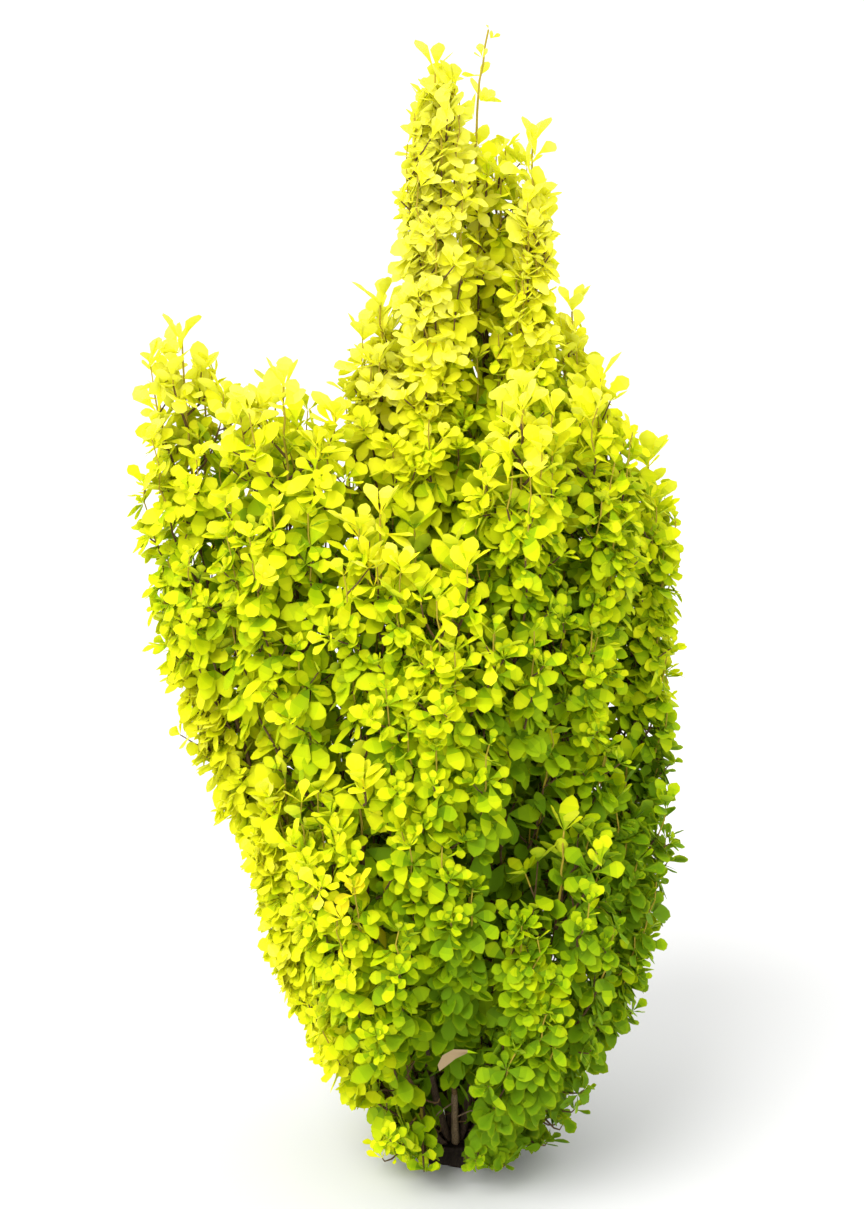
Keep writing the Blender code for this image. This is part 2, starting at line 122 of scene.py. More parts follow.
# Fill is how much of a mass's girth its leaves fill low down, higher up and at its tip. Beyond thin_from its
# leader has few leaves and no side shoots.
Shoot = namedtuple("Shoot", "name tip leafy_from girth low thin_from fill")
SHOOTS = (
    Shoot("left_outer", (-0.230, -0.012, 0.768), 0.150, 0.076, False, 0.96, (-0.04, 1.10, 0.82)),
    Shoot("left_inner", (-0.142, -0.066, 0.735), 0.160, 0.078, False, 0.96, (1.00, 1.10, 1.02)),
    Shoot("front_left", (-0.062, -0.132, 0.637), 0.160, 0.064, False, 0.97, (0.97, 1.00, 0.97)),
    Shoot("front_middle", (-0.005, -0.150, 0.613), 0.080, 0.064, False, 0.97, (0.95, 0.95, 0.92)),
    Shoot("front_right", (0.052, -0.110, 0.737), 0.150, 0.064, False, 0.96, (0.95, 0.95, 0.92)),
    Shoot("right_inner", (0.118, -0.050, 0.740), 0.160, 0.064, False, 0.96, (0.92, 0.92, 0.84)),
    Shoot("right_outer", (0.166, 0.020, 0.655), 0.160, 0.062, False, 0.95, (1.12, 0.72, 0.78)),
    Shoot("low_left", (-0.146, -0.064, 0.390), 0.034, 0.062, True, 0.97, (0.44, 0.52, 0.80)),
    Shoot("low_front", (-0.080, -0.142, 0.428), 0.034, 0.066, True, 0.97, (0.94, 0.96, 0.98)),
    Shoot("low_right", (0.088, -0.134, 0.366), 0.034, 0.068, True, 0.97, (0.98, 0.98, 0.98)),
    Shoot("low_side", (0.148, -0.030, 0.390), 0.034, 0.068, True, 0.97, (0.86, 0.85, 1.05)),
    Shoot("shoulder", (-0.064, -0.005, 0.787), 0.400, 0.060, False, 0.95, (0.92, 1.00, 0.44)),
    Shoot("spire_left", (-0.018, -0.030, 0.987), 0.400, 0.060, False, 0.93, (0.84, 0.80, 0.74)),
    Shoot("spire_main", (0.027, 0.020, 1.000), 0.400, 0.050, False, 0.80, (0.95, 1.10, 0.98)),
    Shoot("spire_right", (0.062, -0.015, 0.925), 0.420, 0.044, False, 0.84, (0.80, 0.58, 0.55)),
    Shoot("right_shoulder", (0.100, 0.050, 0.776), 0.400, 0.058, False, 0.95, (0.88, 0.72, 0.66)),
    Shoot("back_left", (-0.160, 0.088, 0.710), 0.170, 0.074, False, 0.96, (0.90, 1.08, 1.02)),
    Shoot("back_middle", (-0.042, 0.130, 0.740), 0.180, 0.074, False, 0.96, (0.98, 1.06, 0.98)),
    Shoot("back_right", (0.078, 0.124, 0.690), 0.180, 0.074, False, 0.96, (0.94, 0.96, 0.92)),
    Shoot("low_back_left", (-0.084, 0.128, 0.400), 0.034, 0.070, True, 0.97, (0.92, 0.92, 0.90)),
    Shoot("low_back_right", (0.062, 0.138, 0.380), 0.034, 0.070, True, 0.97, (1.12, 0.98, 0.94)),
)
TAN_STEM = "front_middle"
STEM_SIDES = 14
STEM_RING = 0.0035
# The bare twigs on the pale stem: how high each leaves it, and how far it reaches
BARE_TWIGS = ((0.070, (-0.026, -0.026, -0.012)), (0.050, (0.026, -0.026, 0.020)))
BARE_TWIG_BOW = np.array([0.0, 0.0, 0.003])

# The first seeds of the masses, of their leaves and of the bark on the stems
MASS_SEED = 100
LEAF_SEED = 5100
BARK_SEED = 9000

# Leaders. The bare one stands clear above the plant, and its upper part bows.
LEADER_RING = 0.014
LEADER_END = 0.955
BARE_SHOOT = "spire_main"
BARE_LEADER_END = 0.990
BARE_BOW = 0.011
BARE_BOW_FROM_TIP = 0.32

# Side shoots on a leader. A few keep near it, and a few are golden.
SIDE_RING = 0.014
SIDE_SPACING = 0.0175
SIDE_START = (0.1, 0.6)
SIDE_RISE = (0.13, 0.22)
SIDE_ROOM_USED = (0.72, 1.0)
SIDE_END = 0.985
SIDE_PAST_THIN = 0.03
LEAST_SIDE_RISE = 0.040
SIDE_ANGLE = math.radians(52)
SIDE_TRIES = 6
SIDE_ROOM = 0.80
NEAR_SHARE = 0.18
NEAR_REACH = 0.6
GOLD_SHARE = 0.010
# How far side shoots end below the leader: so much of their own distance from it, and up to a step more
HEAD_SLOPE = (0.2, 1.3)
HEAD_STEP = 0.038
HEAD_STEP_POWER = 1.5
# What a shoot that doesn't fit is shortened by before the next try
SHORTENED = 0.85

# Twigs on side shoots
TWIG_SPACING = 0.032
TWIG_START = 0.7
TWIG_SHIFT = 0.25
TWIG_LENGTH = (0.012, 0.028)
TWIG_LEAN = math.radians(52)
TWIG_ROOM = 0.88
TWIG_LIFT = np.array([0, 0, 0.004])
TWIG_SAG = np.array([0, 0, 0.0012])
SHOOT_MARGIN = -0.20
LEAF_ROOM = 0.019
WANDER = 0.0011
TIP_RADIUS = 0.00055
SIDE_RADIUS = 0.0013
TWIG_RADIUS = 0.0008
TWIG_RADII = np.array([TWIG_RADIUS, 0.8 * TWIG_RADIUS, TIP_RADIUS])

# Skirt shoots, which leave a low mass level. The low ones hang almost to the ground, and the high ones sag a
# little: pairs are for low and high.
SKIRT_SHOOTS = 18
SKIRT_LENGTH = (0.052, 0.074)
SKIRT_START = (0.10, 0.42)
SKIRT_END = 0.013
SKIRT_SAG = 0.006
SKIRT_LIFT = 0.006
LEAST_SKIRT_DROP = 0.004
LEAST_SKIRT_LENGTH = 0.012
SKIRT_ROOM = 0.86

# Spurs on the bare stems inside the foot, where the foliage is dark but no sky shows. Their leaves are dealt
# deeper tints by SPUR_SHADE: painted shade.
SPUR_FROM = 0.045
SPUR_SPACING = 0.012
SPUR_REACH = (0.008, 0.021)
SPUR_RISE = 0.25
SPUR_SHADE = 0.26
# A margin that lets a leaf stand in any mass's space
ANYWHERE = -9.0

# The gap in front of the foot, where the pale stem shows: its middle, half its width, what is left of that at
# the ground, its height and its back
GAP_MIDDLE = -0.002
GAP_HALF = 0.0095
GAP_FOOT_SHARE = 0.55
GAP_HEIGHT = 0.10
GAP_BEHIND = -0.028

# The order of a twig: a leader, a side or skirt shoot, a twig, or a spur on a bare stem. Each has its own
# number of sides, and from some share of its height on it is young.
LEADER, SIDE, TWIG, SPUR = range(4)
ORDER_SIDES = (7, 6, 4, 4)
ORDER_YOUNG_FROM = (0.80, 0.62, 0.5, 2.0)

# Rosettes of leaves along a twig: where the first and the last are, how far apart they are, how far they lean
# out of it, and how long the spurs are that they stand on
FIRST_ROSETTE = 0.012
FIRST_TWIG_ROSETTE = 0.004
LAST_ROSETTE = 0.004
ROSETTE_SPACING = 0.0158
THIN_SPACING = 0.018
SPACING_SPREAD = (0.8, 1.2)
ROSETTE_AXIS = math.radians(58)
TIP_AXIS_SHARE = 0.55
TIP_LENGTH = 0.018
SPUR_LENGTH = (0.002, 0.005)

# How the leaves of a rosette stand, from its largest and widest open one to its smallest. It has at most as
# many as there are openings.
LEAF_OPENINGS = np.radians([76, 70, 74, 60, 52, 38, 28])
LEAF_SIZES = np.array([1.0, 0.96, 0.90, 0.80, 0.66, 0.50, 0.40])
CLOSED_YOUNG = 0.30
CLOSED_HEAD = 0.15
CLOSED_THIN = 0.25
TURN_NOISE = 0.2
OPENING_NOISE = 0.14
LIGHT_WAY = np.array([-0.10, 0.0, 0.60])
LIGHT_NOISE = 0.27
HANGING = 0.46
HANG_SPREAD = (0.2, 1.5)
HANG_WAY = (0.62, -0.78)
UPRIGHT_TIP = 0.85
UPRIGHT_TIP_LENGTH = 0.05
UPRIGHT_HEAD = 0.9
UPRIGHT_LIFT = 0.55
# How far the middle of a leaf's two wide points is along it, and how far leaves may reach past the space
LEAF_MIDDLE = 0.6
LEAF_MARGIN = -0.40
LEAF_REACH = (0.84, 1.08)
BARE_LEAF_REACH = 2.2

# How long the leaves are beside each other, and which are left out
LENGTH_SPREAD = (0.80, 1.22)
SHORTER_YOUNG = 0.25
INNER_LENGTH = 1.12
LONGER_HEAD = 0.18
BARE_LENGTHS = (0.30, 0.52)
BARE_GROWN = (0.005, 0.070)
HEAD_RISE = (0.70, 0.97)
IN_HEAD = 0.4
MISSING_SHARE = 0.26
LEAST_LYING = 0.25
FEW_SMALL = 0.4
FACING_AWAY = -0.25
AWAY_MISSING = 0.75
AWAY_OPENED = 0.6

# How far a rosette looks for open space round it, and in which directions: how high, and how many ways round
LOOK_FAR = 0.055
LOOK_RINGS = ((-25, 6), (5, 8), (40, 6), (80, 2))
OPEN_FROM = 0.80
OPEN_OVER = 0.35
HIDDEN_BELOW = 0.04
INNER_BELOW = 0.13

# The light by which the tints are dealt, from 0 in deep shade to 1 at the top: what a rosette's open space,
# youth, side and facing add, and how much it gets at some heights. The tints are partly the leaves' own
# colour, greener where they grow in shade, and partly painted light and shade: the side and the facing
# towards the sun, the sunny flank, the right column, the patches and the bands paint in how the plant is lit.
SUN_WAY = np.array([-0.55, -0.50, 0.67])
SUN_OPENED = 0.52
SUN_YOUNG = 0.10
SUN_LEFT = 0.16
SUN_FACING = 0.14
SUN_HEIGHTS = (0.0, 0.10, 0.20, 0.31, 0.42, 0.52, 0.62, 0.72, 0.81, 1.0)
SUN_SHARES = (0.0, 0.02, 0.05, 0.14, 0.20, 0.17, 0.25, 0.46, 0.56, 0.54)
SUN_YOUNG_LENGTH = 0.06
SUN_NOISE = 0.05
TINT_NOISE = 0.055
# The least open space that counts near the top, and between which heights that begins
TOP_OPENED = 0.30
TOP_RISE = (0.62, 0.80)
# The sunny flank: where its border begins, how wide that is at the ground and how much wider with height, how
# much light it gets, and between which heights it ends
FLANK_FROM = 0.02
FLANK_WIDTH = (0.07, 0.40)
FLANK_LIGHT = 0.33
FLANK_FALL = (0.42, 0.52)
# The right column: how much more light it gets, where it begins, and the heights of a belt without it
RIGHT_LIGHT = 0.07
RIGHT_BEGIN = (0.12, 0.17)
RIGHT_RISE = (0.37, 0.42)
RIGHT_BELT = (0.50, 0.54, 0.60)
# How much more the heads get at some heights
HEAD_SUN_HEIGHTS = (0.42, 0.55, 0.75)
HEAD_SUN_SHARES = (0.20, 0.04, 0.14)
# Patches with more or less light: how much, on the right for side 1 or on the left for side -1, between which
# distances from the middle they begin, and between which heights they rise and fall
Patch = namedtuple("Patch", "amount side begin rise fall")
FROM_GROUND = (-2.0, -1.0)
TO_TOP = (2.0, 3.0)
PATCHES = (
    Patch(-0.20, 1, (0.09, 0.16), (0.20, 0.28), (0.34, 0.44)),
    Patch(-0.13, 1, (0.0, 0.07), FROM_GROUND, (0.12, 0.20)),
    Patch(0.08, -1, (0.07, 0.15), (0.64, 0.70), TO_TOP),
    Patch(-0.12, 1, (0.03, 0.08), (0.22, 0.27), (0.33, 0.38)),
    Patch(0.04, -1, (-0.02, 0.03), FROM_GROUND, (0.12, 0.18)),
)
# Upright bands with more or less light: how much, their middle, and between which heights they rise and fall
BAND_WIDTH = 0.045
BANDS = (
    (-0.15, 0.015, FROM_GROUND, (0.30, 0.50)),
    (0.20, -0.07, (0.50, 0.62), (0.76, 0.84)),
)
GOLD = -1

# The dry leaf: where its root is, how long and how narrow it is, which way it sets out and faces, how far it
# curls over, and its other bends
DRY_LEAF_ROOT = np.array([0.018, -0.154, 0.163])
DRY_LEAF_LENGTH = 0.047
DRY_LEAF_WIDTH = 0.36
DRY_LEAF_WAY = np.array([-0.94, 0.0, 0.34])
DRY_LEAF_UP = np.array([0.0, -0.30, 0.95])
DRY_LEAF_CURL = 1.9
DRY_LEAF_BENDS = (0.0, -2.0, 1.3)


def colour_property(name, description, default):
    return bpy.props.FloatVectorProperty(
        name=name, description=description, subtype="COLOR", size=3, min=0.0, max=1.0, default=default
    )


def length_property(name, description, default):
    return bpy.props.FloatProperty(
        name=name, description=description, unit="LENGTH", min=0.0, precision=4, default=default
    )


def share_property(name, description, default):
    return bpy.props.FloatProperty(
        name=name, description=description, subtype="FACTOR", min=0.0, max=1.0, default=default
    )


class BarberryLeafSettings(bpy.types.PropertyGroup):
    """The size and shape of a leaf."""

    length: length_property("Length", "Length of a full-grown leaf", 0.0236)
    width: share_property("Width", "Width of a leaf as a share of its length", 0.56)
    thickness: share_property("Thickness", "Thickness of a leaf as a share of its length", 0.020)
    channel: share_property("Channel", "Depth of the midrib's channel as a share of the length", 0.030)
    to_light: share_property("Turned to the light", "How far the leaves turn their faces outwards", 0.52)
    glow: share_property("Glow", "How much light passes through a leaf", 0.40)


class BarberryTintSettings(bpy.types.PropertyGroup):
    """The plain colours that the sprays are dealt, from full sun to deep shade, and their number. They are
    partly the leaves' own colour, greener in shade, and partly painted light and shade.
    """

    pale: colour_property("Pale lemon", "Leaves in full sun at the top", (0.98, 0.95, 0.100))
    lemon: colour_property("Lemon", "Leaves at the heads of the columns", (0.93, 0.90, 0.022))
    yellow: colour_property("Yellow", "Leaves in good light", (0.79, 0.82, 0.008))
    lime: colour_property("Lime", "Leaves on the outside halfway up", (0.56, 0.66, 0.004))
    grass: colour_property("Grass green", "Leaves low down and between the columns", (0.30, 0.46, 0.003))
    deep: colour_property("Deep green", "Leaves in deep shade", (0.125, 0.245, 0.003))
    gold: colour_property("Gold", "Leaves at the tips of a few young shoots", (0.93, 0.80, 0.014))
    dry: colour_property("Dry leaf", "The one dry leaf at the foot", (0.31, 0.225, 0.125))
    steps: bpy.props.IntProperty(name="Steps", description="How many tints there are", min=6, default=21)


class BarberryBarkSettings(bpy.types.PropertyGroup):
    """The bark's colours and relief."""

    old: colour_property("Old bark", "Furrowed bark of the stems", (0.070, 0.045, 0.028))
    crest: colour_property("Crests", "Crests of the bark's ridges", (0.15, 0.098, 0.055))
    tan: colour_property("Tan bark", "Bark of the one pale stem", (0.36, 0.25, 0.14))
    twig: colour_property("Twigs", "Bark of twigs", (0.105, 0.062, 0.022))
    young: colour_property("Young shoots", "Bark of this year's shoots", (0.52, 0.40, 0.035))
    relief: length_property("Relief", "Height of the ridges on the bark", 0.0005)


class BarberryStageSettings(bpy.types.PropertyGroup):
    """The floor, the light and the camera."""

    floor: colour_property("Floor", "Colour of the floor", (0.74, 0.74, 0.735))
    sky: bpy.props.FloatProperty(name="Sky", description="Strength of the sky", min=0.0, default=1.22)
    sun: bpy.props.FloatProperty(name="Sun", description="Strength of the soft sun", min=0.0, default=2.15)


KEY_TINTS = ("pale", "lemon", "yellow", "lime", "grass", "deep")


# Lines and directions


def unit(vectors):
    return vectors / np.linalg.norm(vectors, axis=-1, keepdims=True)


def dot(first, second):
    return (first * second).sum(axis=-1, keepdims=True)


def across(directions):
    """Two unit vectors square to each direction and to each other."""
    directions = np.asarray(directions, float)
    steep = np.abs(directions[..., 2:3]) > 0.8
    helper = np.where(steep, np.array([1.0, 0.0, 0.0]), UP)
    first = unit(helper - dot(helper, directions) * directions)
    return first, np.cross(directions, first)


def path_directions(path):
    """The direction of a path at each of its points."""
    step = np.empty_like(path)
    step[1:-1] = path[2:] - path[:-2]
    step[0] = path[1] - path[0]
    step[-1] = path[-1] - path[-2]
    return unit(step)


def path_places(path):
    """How far along a path each of its points is."""
    steps = np.linalg.norm(np.diff(path, axis=0), axis=1)
    return np.concatenate([[0.0], np.cumsum(steps)])


def along_path(path, wanted):
    """Points and directions at some distances along a path."""
    places = path_places(path)
    directions = path_directions(path)
    points = np.stack([np.interp(wanted, places, path[:, axis]) for axis in range(3)], axis=1)
    ways = np.stack([np.interp(wanted, places, directions[:, axis]) for axis in range(3)], axis=1)
    return points, unit(ways)


def ease(low, high, values):
    """A smooth rise from 0 at low to 1 at high."""
    share = np.clip((values - low) / (high - low), 0, 1)
    return share * share * (3 - 2 * share)


# Stems and the spaces of the masses, by the rule that the solids were grown by


def stem_feet():
    """Where each stem stands on the root crown: on its tip's side, pushed apart until none touches."""
    farthest = max(math.hypot(*shoot.tip[:2]) for shoot in SHOOTS)
    most = CROWN_TOP_RADIUS - STEM_FOOT_RADIUS - RIM_MARGIN
    feet = np.array([shoot.tip[:2] for shoot in SHOOTS]) * (most / farthest)
    for _ in range(FOOT_ROUNDS):
        for first in range(len(feet)):
            for second in range(first + 1, len(feet)):
                between = feet[second] - feet[first]
                distance = max(np.linalg.norm(between), 1e-6)
                if distance < FOOT_SPACING:
                    push = between / distance * (FOOT_SPACING - distance) / 2
                    feet[first] -= push
                    feet[second] += push
        out = np.linalg.norm(feet, axis=1)
        feet *= np.minimum(1.0, most / np.maximum(out, 1e-6))[:, None]
    return feet


class Stem:
    """A shoot's whole line, from its foot on the root crown to its tip. Its mass begins at leafy."""

    def __init__(self, shoot, foot):
        self.foot = np.array([*foot, CROWN_HEIGHT + JOINT_GAP])
        self.tip = np.array(shoot.tip)
        self.girth = shoot.girth
        self.leafy = self.at_height(shoot.leafy_from)
        self.foot_radius = STEM_FOOT_RADIUS * (LOW_STEM_SHARE if shoot.low else 1.0)
        self.mass_length = np.linalg.norm(self.tip - self.point(self.leafy))

    def at_height(self, height):
        """The share of the whole line at a height."""
        return (height - self.foot[2]) / (self.tip[2] - self.foot[2])

    def point(self, share):
        share = np.asarray(share, float)
        lean = np.sin(np.pi / 2 * share**LEAN_POWER)
        return self.foot + (self.tip - self.foot) * np.stack([lean, lean, share], axis=-1)

    def direction(self, share):
        step = 0.01
        return unit(self.point(min(1.0, share + step)) - self.point(max(0.0, share - step)))

    def radius(self, share):
        """The bare stem's radius, which tapers evenly up to the start of the mass."""
        return self.foot_radius * (1 - (1 - STEM_TAPER) * share / self.leafy)

    def in_mass(self, share):
        """The share of the whole line at a share of the mass."""
        return self.leafy + (1 - self.leafy) * np.asarray(share, float)

    def space_radius(self, share):
        """How far the mass may reach from its stem, at a share of the mass."""
        share = np.asarray(share, float)
        swell = np.minimum(1.0, GIRTH_AT_START + (1 - GIRTH_AT_START) * share / WIDEST_FROM)
        return self.girth * swell * (1 - (1 - GIRTH_AT_TIP) * share**3)


class Crown:
    """All the stems and the spaces that their masses keep to."""

    def __init__(self):
        self.stems = [Stem(shoot, foot) for shoot, foot in zip(SHOOTS, stem_feet())]
        shares = np.linspace(0, 1, SPACE_SAMPLES)
        self.lines = np.array([s.point(s.in_mass(shares)) for s in self.stems])
        taper = 1 - HEAD_TAPER * ease(TAPER_FROM, 1.0, shares)
        fills = [np.interp(shares, FILLED_AT, shoot.fill) for shoot in SHOOTS]
        reaches = np.array([s.space_radius(shares) * fill * taper for s, fill in zip(self.stems, fills)])
        self.reaches = np.maximum(reaches, LEAST_REACH)
        self.limbs = np.array([s.point(shares * s.leafy) for s in self.stems]).reshape(-1, 3)
        self.limb_radii = np.array([s.radius(shares * s.leafy) for s in self.stems]).reshape(-1)

    def nearness(self, points):
        """How near each point is to each mass's line, as a share of how far that mass reaches there."""
        away = np.linalg.norm(points[:, None, None, :] - self.lines[None], axis=3)
        return (away / self.reaches[None]).min(axis=2)

    def depth(self, nearness):
        """Nearness to all masses together. Spaces flow into each other, so their grooves fill up."""
        return (np.maximum(nearness, LEAST_NEARNESS) ** -FLOW).sum(axis=1) ** (-1 / FLOW)

    def fits(self, points, own, most=1.0, margin=SHOOT_MARGIN):
        """Whether each point lies in a mass's space, clear of the other spaces, the limbs and the ground."""
        nearness = self.nearness(points)
        filled = self.depth(nearness)
        mine = nearness[:, own].copy()
        nearness[:, own] = np.inf
        to_limbs = np.linalg.norm(points[:, None, :] - self.limbs[None], axis=2) - self.limb_radii[None]
        spread = np.maximum(0, np.linalg.norm(points[:, :2], axis=1) - FOOT_SPREAD)
        widened = ease(0.0, GAP_HEIGHT / 2, points[:, 2])
        half = GAP_HALF * (GAP_FOOT_SHARE + (1 - GAP_FOOT_SHARE) * widened)
        in_gap = (np.abs(points[:, 0] - GAP_MIDDLE) < half) & (points[:, 2] < GAP_HEIGHT)
        in_gap &= points[:, 1] < GAP_BEHIND
        return (
            (filled <= most)
            & (mine + margin <= nearness.min(axis=1))
            & (to_limbs.min(axis=1) >= LIMB_CLEARANCE)
            & (points[:, 2] >= GROUND_CLEARANCE + FOOT_RISE * spread)
            & (points[:, 2] <= PLANT_HEIGHT)
            & ~in_gap
        )

    def open_ways(self, points):
        """How much open space each point has round it, from 0 to 1, and the middle way to that space."""
        seen = np.zeros(len(points))
        towards = np.zeros((len(points), 3))
        most = 0.0
        for high, count in LOOK_RINGS:
            level = math.cos(math.radians(high))
            for turn in np.arange(count) * 2 * math.pi / count:
                way = np.array([level * math.cos(turn), level * math.sin(turn), math.sin(math.radians(high))])
                seen_at = self.depth(self.nearness(points + LOOK_FAR * way))
                free = np.clip((seen_at - OPEN_FROM) / OPEN_OVER, 0, 1)
                seen += free
                towards += free[:, None] * way
                most += 1.0
        return seen / most, towards

    def reach(self, start, direction, own):
        """How far a straight line from a point inside mass own stays in its space."""
        steps = np.arange(MARCH_STEP, 3 * self.stems[own].girth, MARCH_STEP)
        inside = self.fits(start + steps[:, None] * direction, own)
        return steps[-1] if inside.all() else steps[max(0, int(np.argmin(inside)) - 1)]


# Growing a mass: its leader, side shoots and twigs


Twig = namedtuple("Twig", "path radii order gold")


def wandering(path, chance, amount):
    """A path with small bends, its first point left in place."""
    bends = chance.normal(0.0, amount, path.shape)
    bends[0] = 0.0
    return path + bends


def leader_of(stem, name, chance):
    """The stem carried on almost to the tip of its mass. The bare one goes further, and bows."""
    rings = 2 + int(stem.mass_length / LEADER_RING)
    shares = np.linspace(0, BARE_LEADER_END if name == BARE_SHOOT else LEADER_END, rings)
    path = stem.point(stem.in_mass(shares))
    path[0] += JOINT_GAP * stem.direction(stem.leafy)
    path[:-1] = wandering(path[:-1], chance, WANDER / 2)
    if name == BARE_SHOOT:
        path[:, 0] -= BARE_BOW * np.sin(np.pi * np.clip((1 - shares) / BARE_BOW_FROM_TIP, 0, 1))
    radii = np.interp(shares, [0, shares[-1]], [stem.radius(stem.leafy), 1.5 * TIP_RADIUS])
    return Twig(path, radii, LEADER, False)


def side_radii(shares):
    """The radii of a side or skirt shoot at some shares of its length."""
    return np.interp(shares, [0, 1], [SIDE_RADIUS, TIP_RADIUS])


def side_shoot(crown, own, share, turn, rise, chance):
    """A shoot that leaves the leader, turns upright beside it and keeps to the mass's space, or none."""
    stem = crown.stems[own]
    start = stem.point(stem.in_mass(share))
    direction = stem.direction(stem.in_mass(share))
    first, second = across(direction)
    best_reach = 0.0
    best_outward = first
    for spin in range(SIDE_TRIES):
        angle = turn + spin * 2 * math.pi / SIDE_TRIES
        outward = math.cos(angle) * first + math.sin(angle) * second
        heading = math.cos(SIDE_ANGLE) * direction + math.sin(SIDE_ANGLE) * outward
        reach = crown.reach(start, heading, own)
        if reach > best_reach:
            best_reach = reach
            best_outward = outward
        if reach >= stem.space_radius(share):
            break
    away = best_reach * math.sin(SIDE_ANGLE) - LEAF_ROOM
    away *= NEAR_REACH if chance.random() < NEAR_SHARE else 1.0
    below = chance.uniform(*HEAD_SLOPE) * max(0.0, away) + HEAD_STEP * chance.random() ** HEAD_STEP_POWER
    rise = min(rise, (LEADER_END - share) * stem.mass_length - below)
    if rise < LEAST_SIDE_RISE / 2:
        return None
    shares = np.linspace(0, 1, 2 + int(rise / SIDE_RING))
    centre = stem.point(stem.in_mass(share + rise / stem.mass_length * shares))
    directions = path_directions(centre)
    outwards = unit(best_outward - dot(best_outward, directions) * directions)
    lean = np.sin(np.pi / 2 * shares**LEAN_POWER)[:, None]
    while away > LEAF_ROOM / 4:
        path = centre + away * lean * outwards
        if crown.fits(path[2:], own, SIDE_ROOM).all():
            bent_path = wandering(path, chance, WANDER)
            return Twig(bent_path, side_radii(shares), SIDE, chance.random() < GOLD_SHARE)
        away *= SHORTENED
    return None


def skirt_shoot(crown, own, turn, high, chance):
    """A shoot low on a low mass that runs out nearly level. The lowest sag to the ground. It may be none."""
    stem = crown.stems[own]
    start = stem.point(stem.in_mass(chance.uniform(0.0, SKIRT_START[high])))
    outward = np.array([math.cos(turn), math.sin(turn), 0.0])
    shares = np.linspace(0, 1, 6)
    length = SKIRT_LENGTH[high] * chance.uniform(0.75, 1.05)
    drop = SKIRT_SAG if high else max(LEAST_SKIRT_DROP, start[2] - SKIRT_END * chance.uniform(0.8, 1.8))
    while length > LEAST_SKIRT_LENGTH:
        out = length * np.sin(np.pi / 2 * shares)
        fall = drop * np.sin(np.pi / 2 * np.minimum(1, 1.25 * shares)) - SKIRT_LIFT * shares**4
        path = start + out[:, None] * outward - fall[:, None] * UP
        if crown.fits(path[2:], own, SKIRT_ROOM).all():
            return Twig(path, side_radii(shares), SIDE, False)
        length *= SHORTENED
    return None


def twigs_on(crown, own, shoot, chance):
    """Short twigs on a side shoot, by the golden angle."""
    length = path_places(shoot.path)[-1]
    wanted = np.arange(TWIG_SPACING * TWIG_START, length - TWIG_SPACING / 2, TWIG_SPACING)
    if not len(wanted):
        return []
    wanted = wanted + chance.uniform(-TWIG_SHIFT, TWIG_SHIFT, len(wanted)) * TWIG_SPACING
    starts, ways = along_path(shoot.path, wanted)
    firsts, seconds = across(ways)
    turn = chance.uniform(0, 2 * math.pi)
    made = []
    for start, way, first, second in zip(starts, ways, firsts, seconds):
        outward = math.cos(turn) * first + math.sin(turn) * second
        heading = math.cos(TWIG_LEAN) * way + math.sin(TWIG_LEAN) * outward
        end = start + chance.uniform(*TWIG_LENGTH) * heading + TWIG_LIFT
        if crown.fits(end[None], own, TWIG_ROOM).all():
            middle = (start + end) / 2 - TWIG_SAG
            made.append(Twig(np.array([start, middle, end]), TWIG_RADII, TWIG, shoot.gold))
        turn += GOLDEN_ANGLE
    return made


def spurs_on_stem(crown, own, chance):
    """Short spurs on a bare stem, which carry the dark leaves inside the foot."""
    stem = crown.stems[own]
    spurs = []
    for height in np.arange(SPUR_FROM, SHOOTS[own].leafy_from, SPUR_SPACING):
        start = stem.point(stem.at_height(height))
        turn = chance.uniform(0, 2 * math.pi)
        end = start + chance.uniform(*SPUR_REACH) * np.array([math.cos(turn), math.sin(turn), SPUR_RISE])
        if crown.fits(end[None], own, 1.0, ANYWHERE).all():
            spurs.append(Twig(np.array([start, (start + end) / 2, end]), TWIG_RADII, SPUR, False))
    return spurs


def grow_mass(crown, own):
    """All the twigs of a mass. The same seed gives the same mass each time."""
    stem = crown.stems[own]
    thin_from = SHOOTS[own].thin_from
    chance = np.random.default_rng(MASS_SEED + own)
    leader = leader_of(stem, SHOOTS[own].name, chance)
    shoots = []
    count = int(thin_from * stem.mass_length / SIDE_SPACING)
    turn = chance.uniform(0, 2 * math.pi)
    for number in range(count):
        share = (number + chance.uniform(*SIDE_START)) / count * thin_from
        room = (min(SIDE_END, thin_from + SIDE_PAST_THIN) - share) * stem.mass_length
        rise = min(chance.uniform(*SIDE_RISE), room * chance.uniform(*SIDE_ROOM_USED))
        if rise > LEAST_SIDE_RISE:
            shoot = side_shoot(crown, own, share, turn, rise, chance)
            if shoot:
                shoots.append(shoot)
        turn += GOLDEN_ANGLE
    if SHOOTS[own].low:
        turns = np.arange(SKIRT_SHOOTS) * GOLDEN_ANGLE
        skirt = [skirt_shoot(crown, own, turn, number % 2, chance) for number, turn in enumerate(turns)]
        shoots += [shoot for shoot in skirt if shoot]
    twigs = [twig for shoot in shoots for twig in twigs_on(crown, own, shoot, chance)]
    return [leader] + shoots + twigs + spurs_on_stem(crown, own, chance)


# Rosettes and leaves


Rosettes = namedtuple("Rosettes", "points axes to_tip gold thin free")
Leaves = namedtuple("Leaves", "roots along side over lengths tints shapes")


